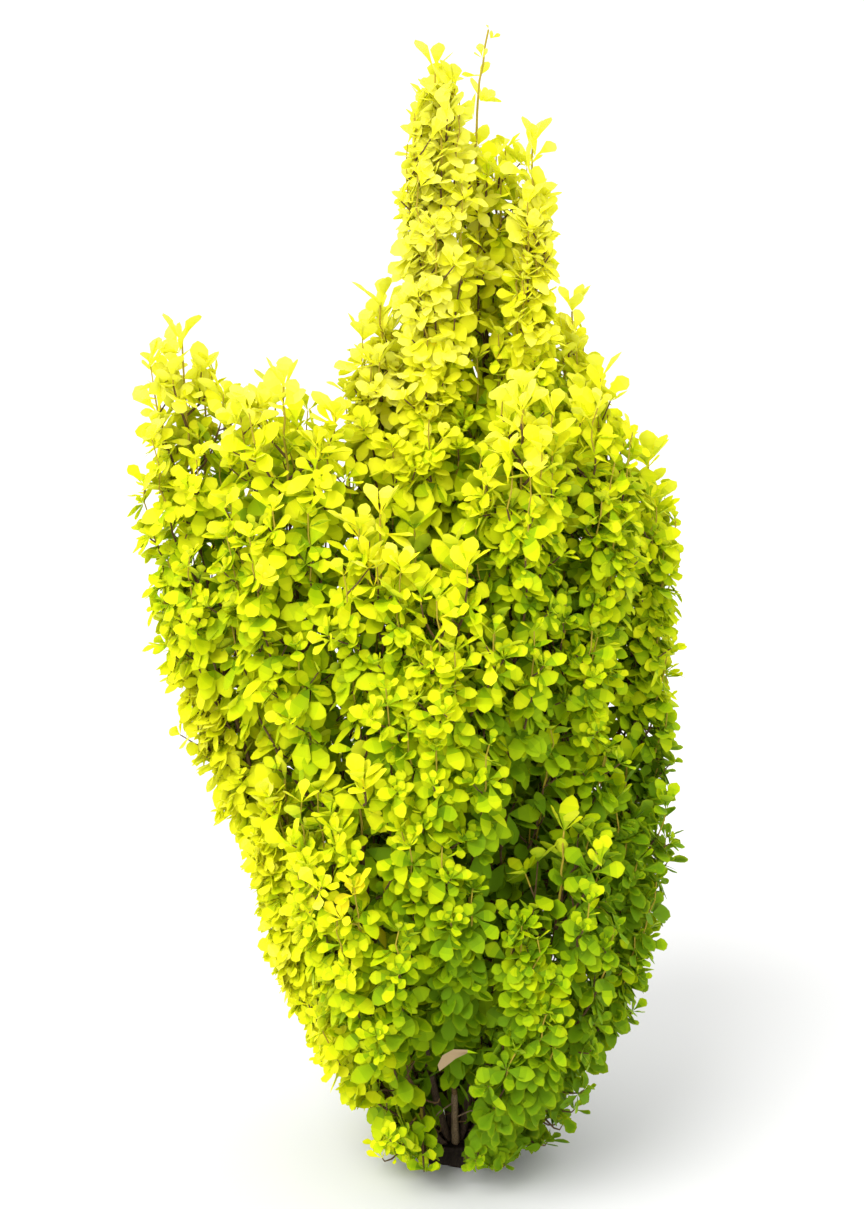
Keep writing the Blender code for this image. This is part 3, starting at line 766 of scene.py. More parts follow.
def rosettes_on(twig, thin_beyond, chance):
    """Rosettes along one twig: where they stand, which way they face, and how near its tip they are."""
    length = path_places(twig.path)[-1]
    wanted = []
    place = FIRST_TWIG_ROSETTE if twig.order >= TWIG else FIRST_ROSETTE
    while place < length - LAST_ROSETTE:
        wanted.append(place)
        spacing = THIN_SPACING if place > thin_beyond * length else ROSETTE_SPACING
        place += spacing * chance.uniform(*SPACING_SPREAD)
    wanted = np.array(wanted + [length])
    count = len(wanted)
    points, ways = along_path(twig.path, wanted)
    firsts, seconds = across(ways)
    turns = (chance.uniform(0, 2 * math.pi) + np.arange(count) * GOLDEN_ANGLE)[:, None]
    outward = np.cos(turns) * firsts + np.sin(turns) * seconds
    to_tip = length - wanted
    at_tip = to_tip < 1e-6
    leaning = ROSETTE_AXIS * (TIP_AXIS_SHARE + (1 - TIP_AXIS_SHARE) * ease(0, TIP_LENGTH, to_tip))
    lean = np.where(at_tip, 0.0, leaning)[:, None]
    axes = np.cos(lean) * ways + np.sin(lean) * outward
    spurs = np.where(at_tip, 0.0, chance.uniform(*SPUR_LENGTH, count))[:, None]
    thin = wanted > thin_beyond * length
    gold, free = np.full(count, twig.gold), np.full(count, twig.order == SPUR)
    return Rosettes(points + spurs * axes, axes, to_tip, gold, thin, free)


def all_rosettes(own, twigs, chance):
    """The rosettes of a whole mass, joined."""
    parts = []
    for twig in twigs:
        thin_beyond = SHOOTS[own].thin_from if twig.order == LEADER else 2.0
        parts.append(rosettes_on(twig, thin_beyond, chance))
    return Rosettes(*[np.concatenate(columns) for columns in zip(*parts)])


def exposure(rosettes, opened, outward, head, chance):
    """How much light each rosette gets, from 0 in deep shade to 1 at the top, by which its tint is dealt:
    partly the leaves' own greening in shade, and partly painted light and shade.
    """
    x, _, z = rosettes.points.T
    left = (PLANT_RIGHT - x) / (PLANT_RIGHT - PLANT_LEFT) - 0.5
    flank = np.clip((FLANK_FROM - x) / (FLANK_WIDTH[0] + FLANK_WIDTH[1] * z), 0, 1)
    young = 1 - ease(0.0, SUN_YOUNG_LENGTH, rosettes.to_tip)
    opened = np.maximum(opened, TOP_OPENED * ease(*TOP_RISE, z))
    facing = dot(outward, SUN_WAY)[:, 0]
    sun = SUN_OPENED * opened + SUN_YOUNG * young + SUN_LEFT * left + SUN_FACING * facing
    sun += np.interp(z, SUN_HEIGHTS, SUN_SHARES) + head * np.interp(z, HEAD_SUN_HEIGHTS, HEAD_SUN_SHARES)
    sun += FLANK_LIGHT * flank**4 * (1 - ease(*FLANK_FALL, z))
    for amount, middle, rise, fall in BANDS:
        sun += amount * np.exp(-(((x - middle) / BAND_WIDTH) ** 2)) * ease(*rise, z) * (1 - ease(*fall, z))
    for patch in PATCHES:
        side = ease(*patch.begin, patch.side * x)
        sun += patch.amount * side * ease(*patch.rise, z) * (1 - ease(*patch.fall, z))
    sun += RIGHT_LIGHT * ease(*RIGHT_BEGIN, x) * ease(*RIGHT_RISE, z) * np.interp(z, RIGHT_BELT, [1, 0, 1])
    # Leaves on spurs inside the foot are dealt deeper tints as painted shade.
    return sun - SPUR_SHADE * rosettes.free + chance.normal(0, SUN_NOISE, len(sun))


# What the leaves of each rosette stand in: how much open space is round it and which way that is, how far up
# in a head it is, how young and upright its leaves are, its light, and whether it lies inside, stands on the
# bare tip or has no leaves
Around = namedtuple("Around", "opened outward head young upright sun inner bare missing")


def around_rosettes(crown, own, rosettes, chance):
    """What the leaves of each rosette of a mass stand in."""
    points = rosettes.points
    line = crown.lines[own]
    nearest = np.linalg.norm(points[:, None] - line[None], axis=2).argmin(axis=1)
    from_leader = (points - line[nearest]) / crown.stems[own].girth
    from_axis = points * np.array([20.0, 20.0, 0.0])
    from_leader = np.where(rosettes.free[:, None], from_axis, from_leader)
    opened, towards = crown.open_ways(points)
    outward = unit(towards / 8 + from_leader + 1e-6)
    head = ease(*HEAD_RISE, nearest / (SPACE_SAMPLES - 1))
    young = 1 - ease(0, TIP_LENGTH, rosettes.to_tip)
    near_tip = 1 - ease(0, UPRIGHT_TIP_LENGTH, rosettes.to_tip)
    upright = np.maximum(UPRIGHT_TIP * near_tip, UPRIGHT_HEAD * head)
    sun = exposure(rosettes, opened, outward, head, chance)
    inner = opened < INNER_BELOW
    bare = rosettes.thin & (SHOOTS[own].name == BARE_SHOOT)
    lost = chance.random(len(points)) < MISSING_SHARE
    missing = (head > IN_HEAD) & (rosettes.to_tip > 0.001) & ~rosettes.thin & lost
    return Around(opened, outward, head, young, upright, sun, inner, bare, missing)


def leaf_directions(rosettes, around, start_turn, number, to_light, chance):
    """The way that a leaf of each rosette grows, and the way that its upper face turns."""
    count = len(start_turn)
    firsts, seconds = across(rosettes.axes)
    turn = (start_turn + number * GOLDEN_ANGLE + chance.normal(0, TURN_NOISE, count))[:, None]
    closed = CLOSED_YOUNG * around.young + CLOSED_HEAD * around.head + CLOSED_THIN * rosettes.thin
    open_by = (LEAF_OPENINGS[number] * (1 - closed) + chance.normal(0, OPENING_NOISE, count))[:, None]
    sideways = np.cos(turn) * firsts + np.sin(turn) * seconds
    natural = np.cos(open_by) * rosettes.axes + np.sin(open_by) * sideways
    hanging = HANGING * (1 - around.upright) * chance.uniform(*HANG_SPREAD, count)
    hang = (hanging * min(1, LEAF_SIZES[number] + 0.15))[:, None]
    level = unit(around.outward * np.array([1.0, 1.0, 0.0]) + 1e-6)
    hang_to = HANG_WAY[0] * level + HANG_WAY[1] * UP
    lift = (UPRIGHT_LIFT * around.upright)[:, None] * UP
    natural = unit((1 - hang) * natural + hang * hang_to + lift)
    facing = unit(rosettes.axes - dot(rosettes.axes, natural) * natural)
    light = unit(0.8 * around.outward + LIGHT_WAY + chance.normal(0, LIGHT_NOISE, (count, 3)))
    turned = to_light * (1 - 0.50 * np.maximum(around.young, around.head))[:, None]
    return natural, unit((1 - turned) * facing + turned * light)


def leaf_lengths(rosettes, around, number, full, chance):
    """How long a leaf of each rosette is, where a full-grown one has the full length."""
    count = len(around.sun)
    younger = 1 - SHORTER_YOUNG * around.young * (1 - around.head)
    length = full * LEAF_SIZES[number] * chance.uniform(*LENGTH_SPREAD, count) * younger
    length = length * np.where(around.inner, INNER_LENGTH, 1 + LONGER_HEAD * around.head)
    grown = BARE_LENGTHS[0] + BARE_LENGTHS[1] * ease(*BARE_GROWN, rosettes.to_tip)
    return length * np.where(around.bare, grown, 1.0)


def leaves_kept(rosettes, around, natural, number, chance):
    """Which rosettes have a leaf of this number. Inside, in the heads and on thin tips there are fewer."""
    count = len(around.sun)
    few = around.inner | (around.head > IN_HEAD) | (chance.random(count) < FEW_SMALL)
    kept = ~(rosettes.thin & (number in (4, 6)))
    kept &= ~((number >= 5) & few)
    kept &= ~around.missing
    kept &= ~(around.inner & (number == 3))
    kept &= ~((around.opened < HIDDEN_BELOW) & (number in (1, 4)))
    away = dot(natural, around.outward)[:, 0] < FACING_AWAY
    return kept & ~(away & (chance.random(count) < AWAY_MISSING) & (around.opened < AWAY_OPENED))


def leaf_looks(rosettes, around, steps, chance):
    """The tint and the shape that a leaf of each rosette is dealt."""
    count = len(around.sun)
    shade = (1 - around.sun + chance.normal(0, TINT_NOISE, count)) * steps
    tints = np.clip(np.floor(shade).astype(int), 0, steps - 1)
    tints = np.where(rosettes.gold & (around.young > 0.1) & (chance.random(count) < 0.7), GOLD, tints)
    spoon = (chance.random(count) < 0.15 + 0.75 * around.upright).astype(int)
    bends = chance.integers(0, BENDS_EACH, count)
    return tints, np.where(around.inner, INNER_SHAPE, bends + BENDS_EACH * spoon)


def leaves_of(crown, own, twigs, settings, steps):
    """Every leaf of a mass as arrays: its root, its own axes, its length, its tint and which shape it has."""
    chance = np.random.default_rng(LEAF_SEED + own)
    rosettes = all_rosettes(own, twigs, chance)
    around = around_rosettes(crown, own, rosettes, chance)
    start_turn = chance.uniform(0, 2 * math.pi, len(rosettes.points))
    parts = []
    for number in range(len(LEAF_OPENINGS)):
        natural, over = leaf_directions(rosettes, around, start_turn, number, settings.to_light, chance)
        along = natural - dot(natural, over) * over
        lying = np.linalg.norm(along, axis=1)
        along = unit(along)
        length = leaf_lengths(rosettes, around, number, settings.length, chance)
        kept = leaves_kept(rosettes, around, natural, number, chance) & (lying > LEAST_LYING)
        tints, shapes = leaf_looks(rosettes, around, steps, chance)
        parts.append([rosettes.points, along, np.cross(along, over), over, length, tints, shapes, kept])
    roots, along, side, over, lengths, tints, shapes, kept = [np.concatenate(c) for c in zip(*parts)]
    reach = chance.uniform(*LEAF_REACH, len(roots))
    reach = np.where(np.tile(around.bare, len(parts)), BARE_LEAF_REACH, reach)
    margin = np.tile(np.where(rosettes.free | around.bare, ANYWHERE, LEAF_MARGIN), len(parts))
    kept &= leaves_fit(crown, own, roots, along, side, lengths, reach, margin, settings)
    return Leaves(*[c[kept] for c in (roots, along, side, over, lengths, tints, shapes)])


def leaves_fit(crown, own, roots, along, side, lengths, reach, margin, settings):
    """Whether each leaf's tip and its two widest points stay in the mass's space."""
    tips = roots + lengths[:, None] * along
    half = settings.width / 2 * lengths[:, None] * side
    middles = roots + LEAF_MIDDLE * lengths[:, None] * along
    kept = np.ones(len(roots), bool)
    for places in (tips, middles + half, middles - half):
        kept &= crown.fits(places, own, reach, margin)
    return kept


# Joined meshes


class Joined:
    """Many small bodies joined into one mesh: their points, triangles and the number of each one's finish."""

    def __init__(self):
        self.points = []
        self.triangles = []
        self.finishes = []
        self.count = 0

    def add(self, points, triangles, finishes):
        self.points.append(points)
        self.triangles.append(np.asarray(triangles) + self.count)
        self.finishes.append(np.broadcast_to(finishes, len(triangles)))
        self.count += len(points)

    def build(self, name, materials, sharp_from):
        points = np.concatenate(self.points).astype(np.float32)
        triangles = np.concatenate(self.triangles).astype(np.int32)
        mesh = bpy.data.meshes.new(name)
        mesh.vertices.add(len(points))
        mesh.vertices.foreach_set("co", points.ravel())
        mesh.loops.add(triangles.size)
        mesh.loops.foreach_set("vertex_index", triangles.ravel())
        mesh.polygons.add(len(triangles))
        mesh.polygons.foreach_set("loop_start", np.arange(0, triangles.size, 3, dtype=np.int32))
        for finish in materials:
            mesh.materials.append(finish)
        mesh.polygons.foreach_set("material_index", np.concatenate(self.finishes).astype(np.int32))
        mesh.update(calc_edges=True)
        mesh.shade_smooth()
        mesh.set_sharp_from_angle(angle=sharp_from)
        made = bpy.data.objects.new(name, mesh)
        bpy.context.scene.collection.objects.link(made)
        return made


def tube(path, radii, sides, relief=None):
    """Points and triangles of a closed, tapering limb. Relief is added to the radius at each point."""
    count = len(path)
    directions = path_directions(path)
    helper = np.eye(3)[np.abs(path[-1] - path[0]).argmin()]
    first = unit(helper - dot(helper, directions) * directions)
    second = np.cross(directions, first)
    turns = np.arange(sides) * 2 * math.pi / sides
    radius = np.repeat(np.asarray(radii)[:, None], sides, axis=1)
    if relief is not None:
        radius = radius + relief
    offset = np.cos(turns)[None, :, None] * first[:, None] + np.sin(turns)[None, :, None] * second[:, None]
    rim = (path[:, None] + radius[..., None] * offset).reshape(-1, 3)
    points = np.concatenate([rim, path[:1], path[-1:]])
    low = (np.arange(count - 1)[:, None] * sides + np.arange(sides)[None]).ravel()
    near = (np.arange(count - 1)[:, None] * sides + np.roll(np.arange(sides), -1)[None]).ravel()
    lower = np.stack([low, near, near + sides], 1)
    upper = np.stack([low, near + sides, low + sides], 1)
    around = np.arange(sides)
    after = np.roll(around, -1)
    foot = np.stack([after, around, np.full(sides, count * sides)], 1)
    top = (count - 1) * sides
    head = np.stack([top + around, top + after, np.full(sides, count * sides + 1)], 1)
    return points, np.concatenate([lower, upper, foot, head])


# Materials


def set_inputs(made, values):
    """Sets some of a node's own sockets, given by name."""
    for name, value in values.items():
        made.inputs[name].default_value = value


def node(tree, kind, place, values=None, **settings):
    """A new node with some of its settings and sockets set."""
    made = tree.nodes.new(kind)
    made.location = place
    for name, value in settings.items():
        setattr(made, name, value)
    set_inputs(made, values or {})
    return made


def join(tree, *wires):
    """Links nodes. A wire is a node, its output, the next node and its input."""
    for source, output, target, socket in wires:
        tree.links.new(source.outputs[output], target.inputs[socket])


def new_group(name, inputs, outputs):
    """A shader node group with named number inputs, and outputs given as name and socket type."""
    group = bpy.data.node_groups.new(name, "ShaderNodeTree")
    for label, default in inputs:
        socket = group.interface.new_socket(label, in_out="INPUT", socket_type="NodeSocketFloat")
        socket.default_value = default
    for label, kind in outputs:
        group.interface.new_socket(label, in_out="OUTPUT", socket_type="NodeSocket" + kind)
    return group


def satin_group():
    """The satin skin of a leaf: a fine mottle in its gloss, and the same mottle as a faint bump."""
    group = new_group(
        "satin_leaf_skin",
        (
            ("Mottle Scale", 260.0),
            ("Least Roughness", 0.48),
            ("Most Roughness", 0.70),
            ("Vein Height", 0.0002),
        ),
        (("Roughness", "Float"), ("Normal", "Vector")),
    )
    given = node(group, "NodeGroupInput", (-700, 0))
    result = node(group, "NodeGroupOutput", (500, 0))
    place = node(group, "ShaderNodeTexCoord", (-700, -260))
    mottle = node(group, "ShaderNodeTexNoise", (-450, 0), {"Detail": 3.0})
    gloss = node(group, "ShaderNodeMapRange", (-200, 0))
    bump = node(group, "ShaderNodeBump", (200, -200), {"Strength": 0.6})
    join(
        group,
        (place, "Object", mottle, "Vector"),
        (given, "Mottle Scale", mottle, "Scale"),
        (mottle, "Fac", gloss, "Value"),
        (given, "Least Roughness", gloss, "To Min"),
        (given, "Most Roughness", gloss, "To Max"),
        (given, "Vein Height", bump, "Distance"),
        (mottle, "Fac", bump, "Height"),
        (gloss, "Result", result, "Roughness"),
        (bump, "Normal", result, "Normal"),
    )
    return group


def bark_group():
    """Bark grain: a mask of pale crests along the stem, with roughness and a bump to match."""
    group = new_group(
        "bark_grain",
        (("Grain Scale", 900.0), ("Ridge Height", 0.0004)),
        (("Crests", "Float"), ("Roughness", "Float"), ("Normal", "Vector")),
    )
    given = node(group, "NodeGroupInput", (-900, 0))
    result = node(group, "NodeGroupOutput", (500, 0))
    place = node(group, "ShaderNodeTexCoord", (-900, -260))
    drawn = node(group, "ShaderNodeMapping", (-680, -200), {"Scale": (1.0, 1.0, 0.16)})
    grain = node(group, "ShaderNodeTexNoise", (-450, 0), {"Detail": 5.0, "Roughness": 0.65})
    crests = node(group, "ShaderNodeMapRange", (-200, 60), {"From Min": 0.42, "From Max": 0.66})
    rough = node(group, "ShaderNodeMapRange", (-200, -200), {"To Min": 0.95, "To Max": 0.72})
    bump = node(group, "ShaderNodeBump", (200, -200))
    join(
        group,
        (place, "Object", drawn, "Vector"),
        (drawn, "Vector", grain, "Vector"),
        (given, "Grain Scale", grain, "Scale"),
        (grain, "Fac", crests, "Value"),
        (grain, "Fac", rough, "Value"),
        (given, "Ridge Height", bump, "Distance"),
        (grain, "Fac", bump, "Height"),
        (crests, "Result", result, "Crests"),
        (rough, "Result", result, "Roughness"),
        (bump, "Normal", result, "Normal"),
    )
    return group


def group_named(name, make):
    return bpy.data.node_groups.get(name) or make()


def new_material(name, values):
    """A material, its nodes and its shader, with some of the shader's own sockets set."""
    made = bpy.data.materials.new(name)
    made.use_nodes = True
    shader = made.node_tree.nodes["Principled BSDF"]
    set_inputs(shader, values)
    return made, made.node_tree, shader


def leaf_material(name, colour, glow):
    """A satin leaf in one plain colour, lit through by the sun."""
    made, tree, shader = new_material(name, {"Base Color": (*colour, 1.0), "Specular IOR Level": 0.05})
    if glow:
        set_inputs(shader, {"Subsurface Weight": glow, "Subsurface Scale": 0.0012})
        set_inputs(shader, {"Subsurface Radius": (0.9, 1.0, 0.1)})
    skin = node(tree, "ShaderNodeGroup", (-300, 0), node_tree=group_named("satin_leaf_skin", satin_group))
    join(tree, (skin, "Roughness", shader, "Roughness"), (skin, "Normal", shader, "Normal"))
    return made


def bark_material(name, hollow, crest, grain_scale, ridge_height):
    """Bark with dark furrows and paler crests that run along the stem."""
    made, tree, shader = new_material(name, {"Specular IOR Level": 0.25})
    grain = node(tree, "ShaderNodeGroup", (-560, 0), node_tree=group_named("bark_grain", bark_group))
    set_inputs(grain, {"Grain Scale": grain_scale, "Ridge Height": ridge_height})
    colours = {"A": (*hollow, 1.0), "B": (*crest, 1.0)}
    shades = node(tree, "ShaderNodeMix", (-260, 120), colours, data_type="RGBA")
    join(
        tree,
        (grain, "Crests", shades, "Factor"),
        (shades, "Result", shader, "Base Color"),
        (grain, "Roughness", shader, "Roughness"),
        (grain, "Normal", shader, "Normal"),
    )
    return made


def scaled(colour, factor):
    return tuple(factor * part for part in colour)


# The dull green of the leaves' lower faces, and its share in their colour
DULL = (0.66, 0.86, 0.10)
DULLED = 0.22


def underside(colour):
    """The duller colour of a leaf's lower face."""
    most = max(colour)
    return tuple((1 - DULLED) * part + DULLED * dull * most for part, dull in zip(colour, DULL))


def tint_ramp(tints):
    """The graded colours from pale to deep: the key tints, with even steps between them."""
    keys = np.array([getattr(tints, name) for name in KEY_TINTS])
    places = np.linspace(0, len(keys) - 1, tints.steps)
    parts = [np.interp(places, range(len(keys)), keys[:, part]) for part in range(3)]
    return [tuple(colour) for colour in zip(*parts)]


def leaf_materials(tints, glow):
    """The upper faces' tints in order, with gold last, then the lower faces' in the same order."""
    upper = tint_ramp(tints) + [tuple(tints.gold)]
    names = [f"{number + 1:02d}" for number in range(tints.steps)] + ["gold"]
    made = [leaf_material("leaf_" + name, colour, glow) for name, colour in zip(names, upper)]
    return made + [leaf_material("underleaf_" + name, underside(c), glow) for name, c in zip(names, upper)]


def twig_materials(bark):
    """The finishes of brown twigs and of young shoots."""
    young = tuple(bark.young)
    return [
        bark_material("twig_bark", tuple(bark.twig), scaled(bark.twig, 1.9), 1500.0, 0.0002),
        bark_material("young_bark", scaled(young, 0.75), young, 1800.0, 0.0001),
    ]


# Small tools for modelling by hand


def deselect_all():
    for other in list(bpy.context.selected_objects):
        other.select_set(False)


def select_points(mesh, chosen):
    """Selects the points of a mesh for which chosen gives true, and nothing else, in edit mode."""
    bpy.ops.object.mode_set(mode="EDIT")
    bpy.ops.mesh.select_mode(type="VERT")
    bpy.ops.mesh.select_all(action="DESELECT")
    bpy.ops.object.mode_set(mode="OBJECT")
    for point in mesh.vertices:
        point.select = bool(chosen(point))
    bpy.ops.object.mode_set(mode="EDIT")


def finish_piece(made, node_names):
    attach(made, BODY)
    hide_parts(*node_names)


# A leaf's outline as rows from its root to its tip: how far along, and how wide as a share of the width
DROP_ROWS = ((0.0, 0.0), (0.20, 0.36), (0.45, 0.88), (0.68, 0.97), (0.88, 0.58))
SPOON_ROWS = ((0.0, 0.0), (0.30, 0.20), (0.56, 0.64), (0.76, 0.96), (0.91, 0.68))
INNER_ROWS = ((0.0, 0.0), (0.30, 0.56), (0.64, 0.98), (0.90, 0.58))
TIP_BULGE = 0.11
# The bends of each shape of leaf: how far the tip droops, how far the edges rise, and the twist
DROP_BENDS = (
    (0.22, -0.25, 0.10),
    (0.30, 0.15, -0.20),
    (0.12, 0.35, 0.25),
    (0.26, -0.45, -0.10),
    (0.16, 0.05, 0.35),
)
SPOON_BENDS = (
    (0.06, 0.60, 0.00),
    (0.16, 0.40, 0.25),
    (-0.04, 0.50, -0.25),
    (0.24, 0.30, 0.15),
    (0.10, 0.75, -0.10),
)
INNER_BEND = (0.15, 0.20, 0.0)
BENDS_EACH = len(DROP_BENDS)
INNER_SHAPE = 2 * BENDS_EACH
Blade = namedtuple("Blade", "points triangles downward zones")
# How many steps of tint greener each row of faces is, from the root to the tip
ZONES = (4, 3, 1, 0)
# What those steps are multiplied by in the greener leaves and in the palest
ZONE_SHARES = (1.7, 1.1)
SMOOTH_LEAF = math.radians(60)


def model_blade(outline, settings):
    """One leaf of unit length, modelled by hand: a grid drawn to an outline, channelled and closed below."""
    rows = len(outline) - 1
    end = outline[-1][0]

    def on_midrib(co):
        return abs(co.x) < 0.001 and 0.01 < co.y < end - 0.01

    deselect_all()
    bpy.ops.mesh.primitive_grid_add(x_subdivisions=2, y_subdivisions=rows, size=1.0)
    blade = bpy.context.object
    mesh = blade.data
    for number, (place, width) in enumerate(outline):
        # A row that is done waits a unit higher, so that it isn't taken for one that isn't
        start = number / rows - 0.5
        select_points(mesh, lambda point: abs(point.co.y - start) < 0.01 and abs(point.co.z) < 0.01)
        if width:
            bpy.ops.transform.resize(value=(width * settings.width, 1, 1))
        else:
            bpy.ops.mesh.merge(type="CENTER")
        bpy.ops.transform.translate(value=(0, 0, 1.0))
        bpy.ops.transform.translate(value=(0, place - start, 0))
    bpy.ops.mesh.select_all(action="SELECT")
    bpy.ops.transform.translate(value=(0, 0, -1.0))
    select_points(mesh, lambda point: on_midrib(point.co))
    bpy.ops.transform.translate(value=(0, 0, -settings.channel))
    select_points(mesh, lambda point: abs(point.co.x) < 0.001 and point.co.y > end - 0.01)
    bpy.ops.transform.translate(value=(0, TIP_BULGE, 0))
    bpy.ops.mesh.select_all(action="SELECT")
    bpy.ops.mesh.duplicate()
    bpy.ops.mesh.flip_normals()
    bpy.ops.object.mode_set(mode="OBJECT")
    lower = {point.index for point in mesh.vertices if point.select}
    select_points(mesh, lambda point: point.index in lower and on_midrib(point.co))
    bpy.ops.transform.translate(value=(0, 0, -settings.thickness))
    bpy.ops.mesh.select_all(action="SELECT")
    bpy.ops.mesh.remove_doubles(threshold=0.001)
    bpy.ops.mesh.quads_convert_to_tris()
    bpy.ops.object.mode_set(mode="OBJECT")
    points = np.array([point.co for point in mesh.vertices])
    triangles = np.array([tuple(face.vertices) for face in mesh.polygons])
    downward = np.array([face.normal.z < 0 for face in mesh.polygons])
    bpy.data.objects.remove(blade)
    strips = np.searchsorted([place for place, _ in outline], points[triangles].mean(axis=1)[:, 1]) - 1
    zones = np.array(ZONES)[np.minimum(strips, rows - 1) + len(ZONES) - rows]
    return Blade(points, triangles, downward, zones)


def bent(blade, droop, rise, twist):
    """A copy of a blade that droops to its tip, rises at its edges and twists."""
    x, y, z = blade.points.T
    angle = twist * y
    across_it = x * np.cos(angle) - z * np.sin(angle)
    up = x * np.sin(angle) + z * np.cos(angle)
    return blade._replace(points=np.stack([across_it, y, up + rise * x * x - droop * y * y], axis=1))


def leaf_shapes(settings):
    """Every shape of leaf: the drops, the spoons, and the plain one for deep inside."""
    drop = model_blade(DROP_ROWS, settings)
    spoon = model_blade(SPOON_ROWS, settings)
    inner = model_blade(INNER_ROWS, settings)
    shapes = [bent(drop, *bends) for bends in DROP_BENDS] + [bent(spoon, *bends) for bends in SPOON_BENDS]
    return shapes + [bent(inner, *INNER_BEND)]


def dealt_tints(tints, blade, steps):
    """The finish of every triangle of some leaves: their tint at the tip, and greener or gold at the root."""
    share = np.where(tints > steps / 5, *ZONE_SHARES)[:, None]
    graded = np.minimum(tints[:, None] + (blade.zones[None] * share).astype(int), steps - 1)
    golden = (tints < steps / 4) & (tints % 2 == 1)
    graded = np.where(golden[:, None] & (blade.zones[None] == max(ZONES)), steps, graded)
    dealt = np.where((tints == GOLD)[:, None], steps, graded)
    return (dealt + blade.downward[None] * (steps + 1)).ravel()


class BARBERRY_OT_root_crown(bpy.types.Operator):
    """Cover the root crown with old bark, darkened as painted shade"""

    bl_idname = "barberry.root_crown"
    bl_label = "Root crown"

    def execute(self, context):
        bark = context.scene.barberry_bark
        # The old bark's colours darkened to a fifth and less: painted shade at the foot
        dark = bark_material("crown_bark_painted_shade", scaled(bark.old, 0.20), scaled(bark.crest, 0.18), 600.0, 0.0006)
        deselect_all()
        middle = (0, 0, CROWN_HEIGHT / 2)
        bpy.ops.mesh.primitive_cylinder_add(vertices=CROWN_SIDES, depth=CROWN_HEIGHT, location=middle)
        made = context.object
        made.name = "bark_root_crown"
        bpy.ops.object.transform_apply(location=True)
        bpy.ops.object.mode_set(mode="EDIT")
        for height, _, _ in CROWN_ROWS[1:-1]:
            bpy.ops.mesh.select_all(action="SELECT")
            bpy.ops.mesh.bisect(plane_co=(0, 0, height * CROWN_HEIGHT), plane_no=(0, 0, 1))
        bpy.ops.object.mode_set(mode="OBJECT")
        heights, radii, lobing = np.array(CROWN_ROWS).T
        places = np.array([point.co for point in made.data.vertices])
        share = places[:, 2] / CROWN_HEIGHT
        turns = np.arctan2(places[:, 1], places[:, 0])
        lobes = 1 + CROWN_LOBE_DEPTH * np.interp(share, heights, lobing) * np.cos(CROWN_LOBES * turns)
        furrows = bark.relief * (np.sin(13 * turns + 4 * share) + np.sin(22 * turns - 3 * share))
        radius = np.interp(share, heights, radii) * lobes + furrows * (1 - share)
        places[:, :2] *= radius[:, None]
        made.data.vertices.foreach_set("co", places.ravel())
        made.data.materials.append(dark)
        bpy.ops.object.shade_smooth_by_angle(angle=math.radians(40))
        finish_piece(made, ["root_crown"])
        return {"FINISHED"}


# The waves of the bark's ridges: how high, how many round a limb, and how fast they turn along it
RIDGE_WAVES = ((0.50, 3, 21), (0.35, 5, -47), (0.25, 2, 160))


def ridges(places, turns, height, chance):
    """The relief of bark: ridges that run along a limb and wind a little, with knots here and there."""
    phases = chance.uniform(0, 2 * math.pi, 5)
    along = places[:, None]
    around = turns[None]
    wave = 0
    for phase, (high, count, wind) in zip(phases, RIDGE_WAVES):
        wave = wave + high * np.sin(count * around + wind * along + phase)
    knots = np.sin(95 * along + phases[3]) * np.sin(around + phases[4] + 9 * along)
    return height * (wave + 0.9 * np.maximum(0, knots - 0.55) / 0.45 + chance.normal(0, 0.22, wave.shape))


class BARBERRY_OT_stems(bpy.types.Operator):
    """Cover each bare stem with bark in relief"""

    bl_idname = "barberry.stems"
    bl_label = "Stems"

    def execute(self, context):
        bark = context.scene.barberry_bark
        brown = bark_material("stem_bark", tuple(bark.old), tuple(bark.crest), 900.0, 0.0005)
        pale = bark_material("tan_bark", scaled(bark.tan, 0.5), tuple(bark.tan), 900.0, 0.0005)
        crown = Crown()
        turns = np.arange(STEM_SIDES) * 2 * math.pi / STEM_SIDES
        for own, (shoot, stem) in enumerate(zip(SHOOTS, crown.stems)):
            chance = np.random.default_rng(BARK_SEED + own)
            rings = max(6, int(stem.leafy * (stem.tip[2] - stem.foot[2]) / STEM_RING))
            shares = np.linspace(0, stem.leafy, rings)
            path = stem.point(shares)
            relief = ridges(path_places(path), turns, bark.relief, chance)
            piece = Joined()
            piece.add(*tube(path, stem.radius(shares), STEM_SIDES, relief), 0)
            is_pale = shoot.name == TAN_STEM
            for height, reach in BARE_TWIGS if is_pale else ():
                start = stem.point(stem.at_height(height))
                way = np.array(reach)
                path = np.array([start, start + 0.5 * way + BARE_TWIG_BOW, start + way])
                piece.add(*tube(path, TWIG_RADII, 5), 0)
            made = piece.build("bark_" + shoot.name, [pale if is_pale else brown], math.radians(50))
            finish_piece(made, ["stem_" + shoot.name])
        return {"FINISHED"}


class BARBERRY_OT_twigs(bpy.types.Operator):
    """Carry each stem on through its mass as a leader, side shoots and twigs"""

    bl_idname = "barberry.twigs"
    bl_label = "Twigs"

    def execute(self, context):
        finishes = twig_materials(context.scene.barberry_bark)
        crown = Crown()
        for own, shoot in enumerate(SHOOTS):
            piece = Joined()
            for twig in grow_mass(crown, own):
                points, triangles = tube(twig.path, twig.radii, ORDER_SIDES[twig.order])
                share = points[triangles[:, 0]][:, 2] - twig.path[0][2]
                share = share / max(1e-6, twig.path[-1][2] - twig.path[0][2])
                young = share > ORDER_YOUNG_FROM[twig.order]
                piece.add(points, triangles, (young | twig.gold).astype(int))
            made = piece.build("twigs_" + shoot.name, finishes, math.radians(60))
            finish_piece(made, ["foliage_" + shoot.name])
        return {"FINISHED"}


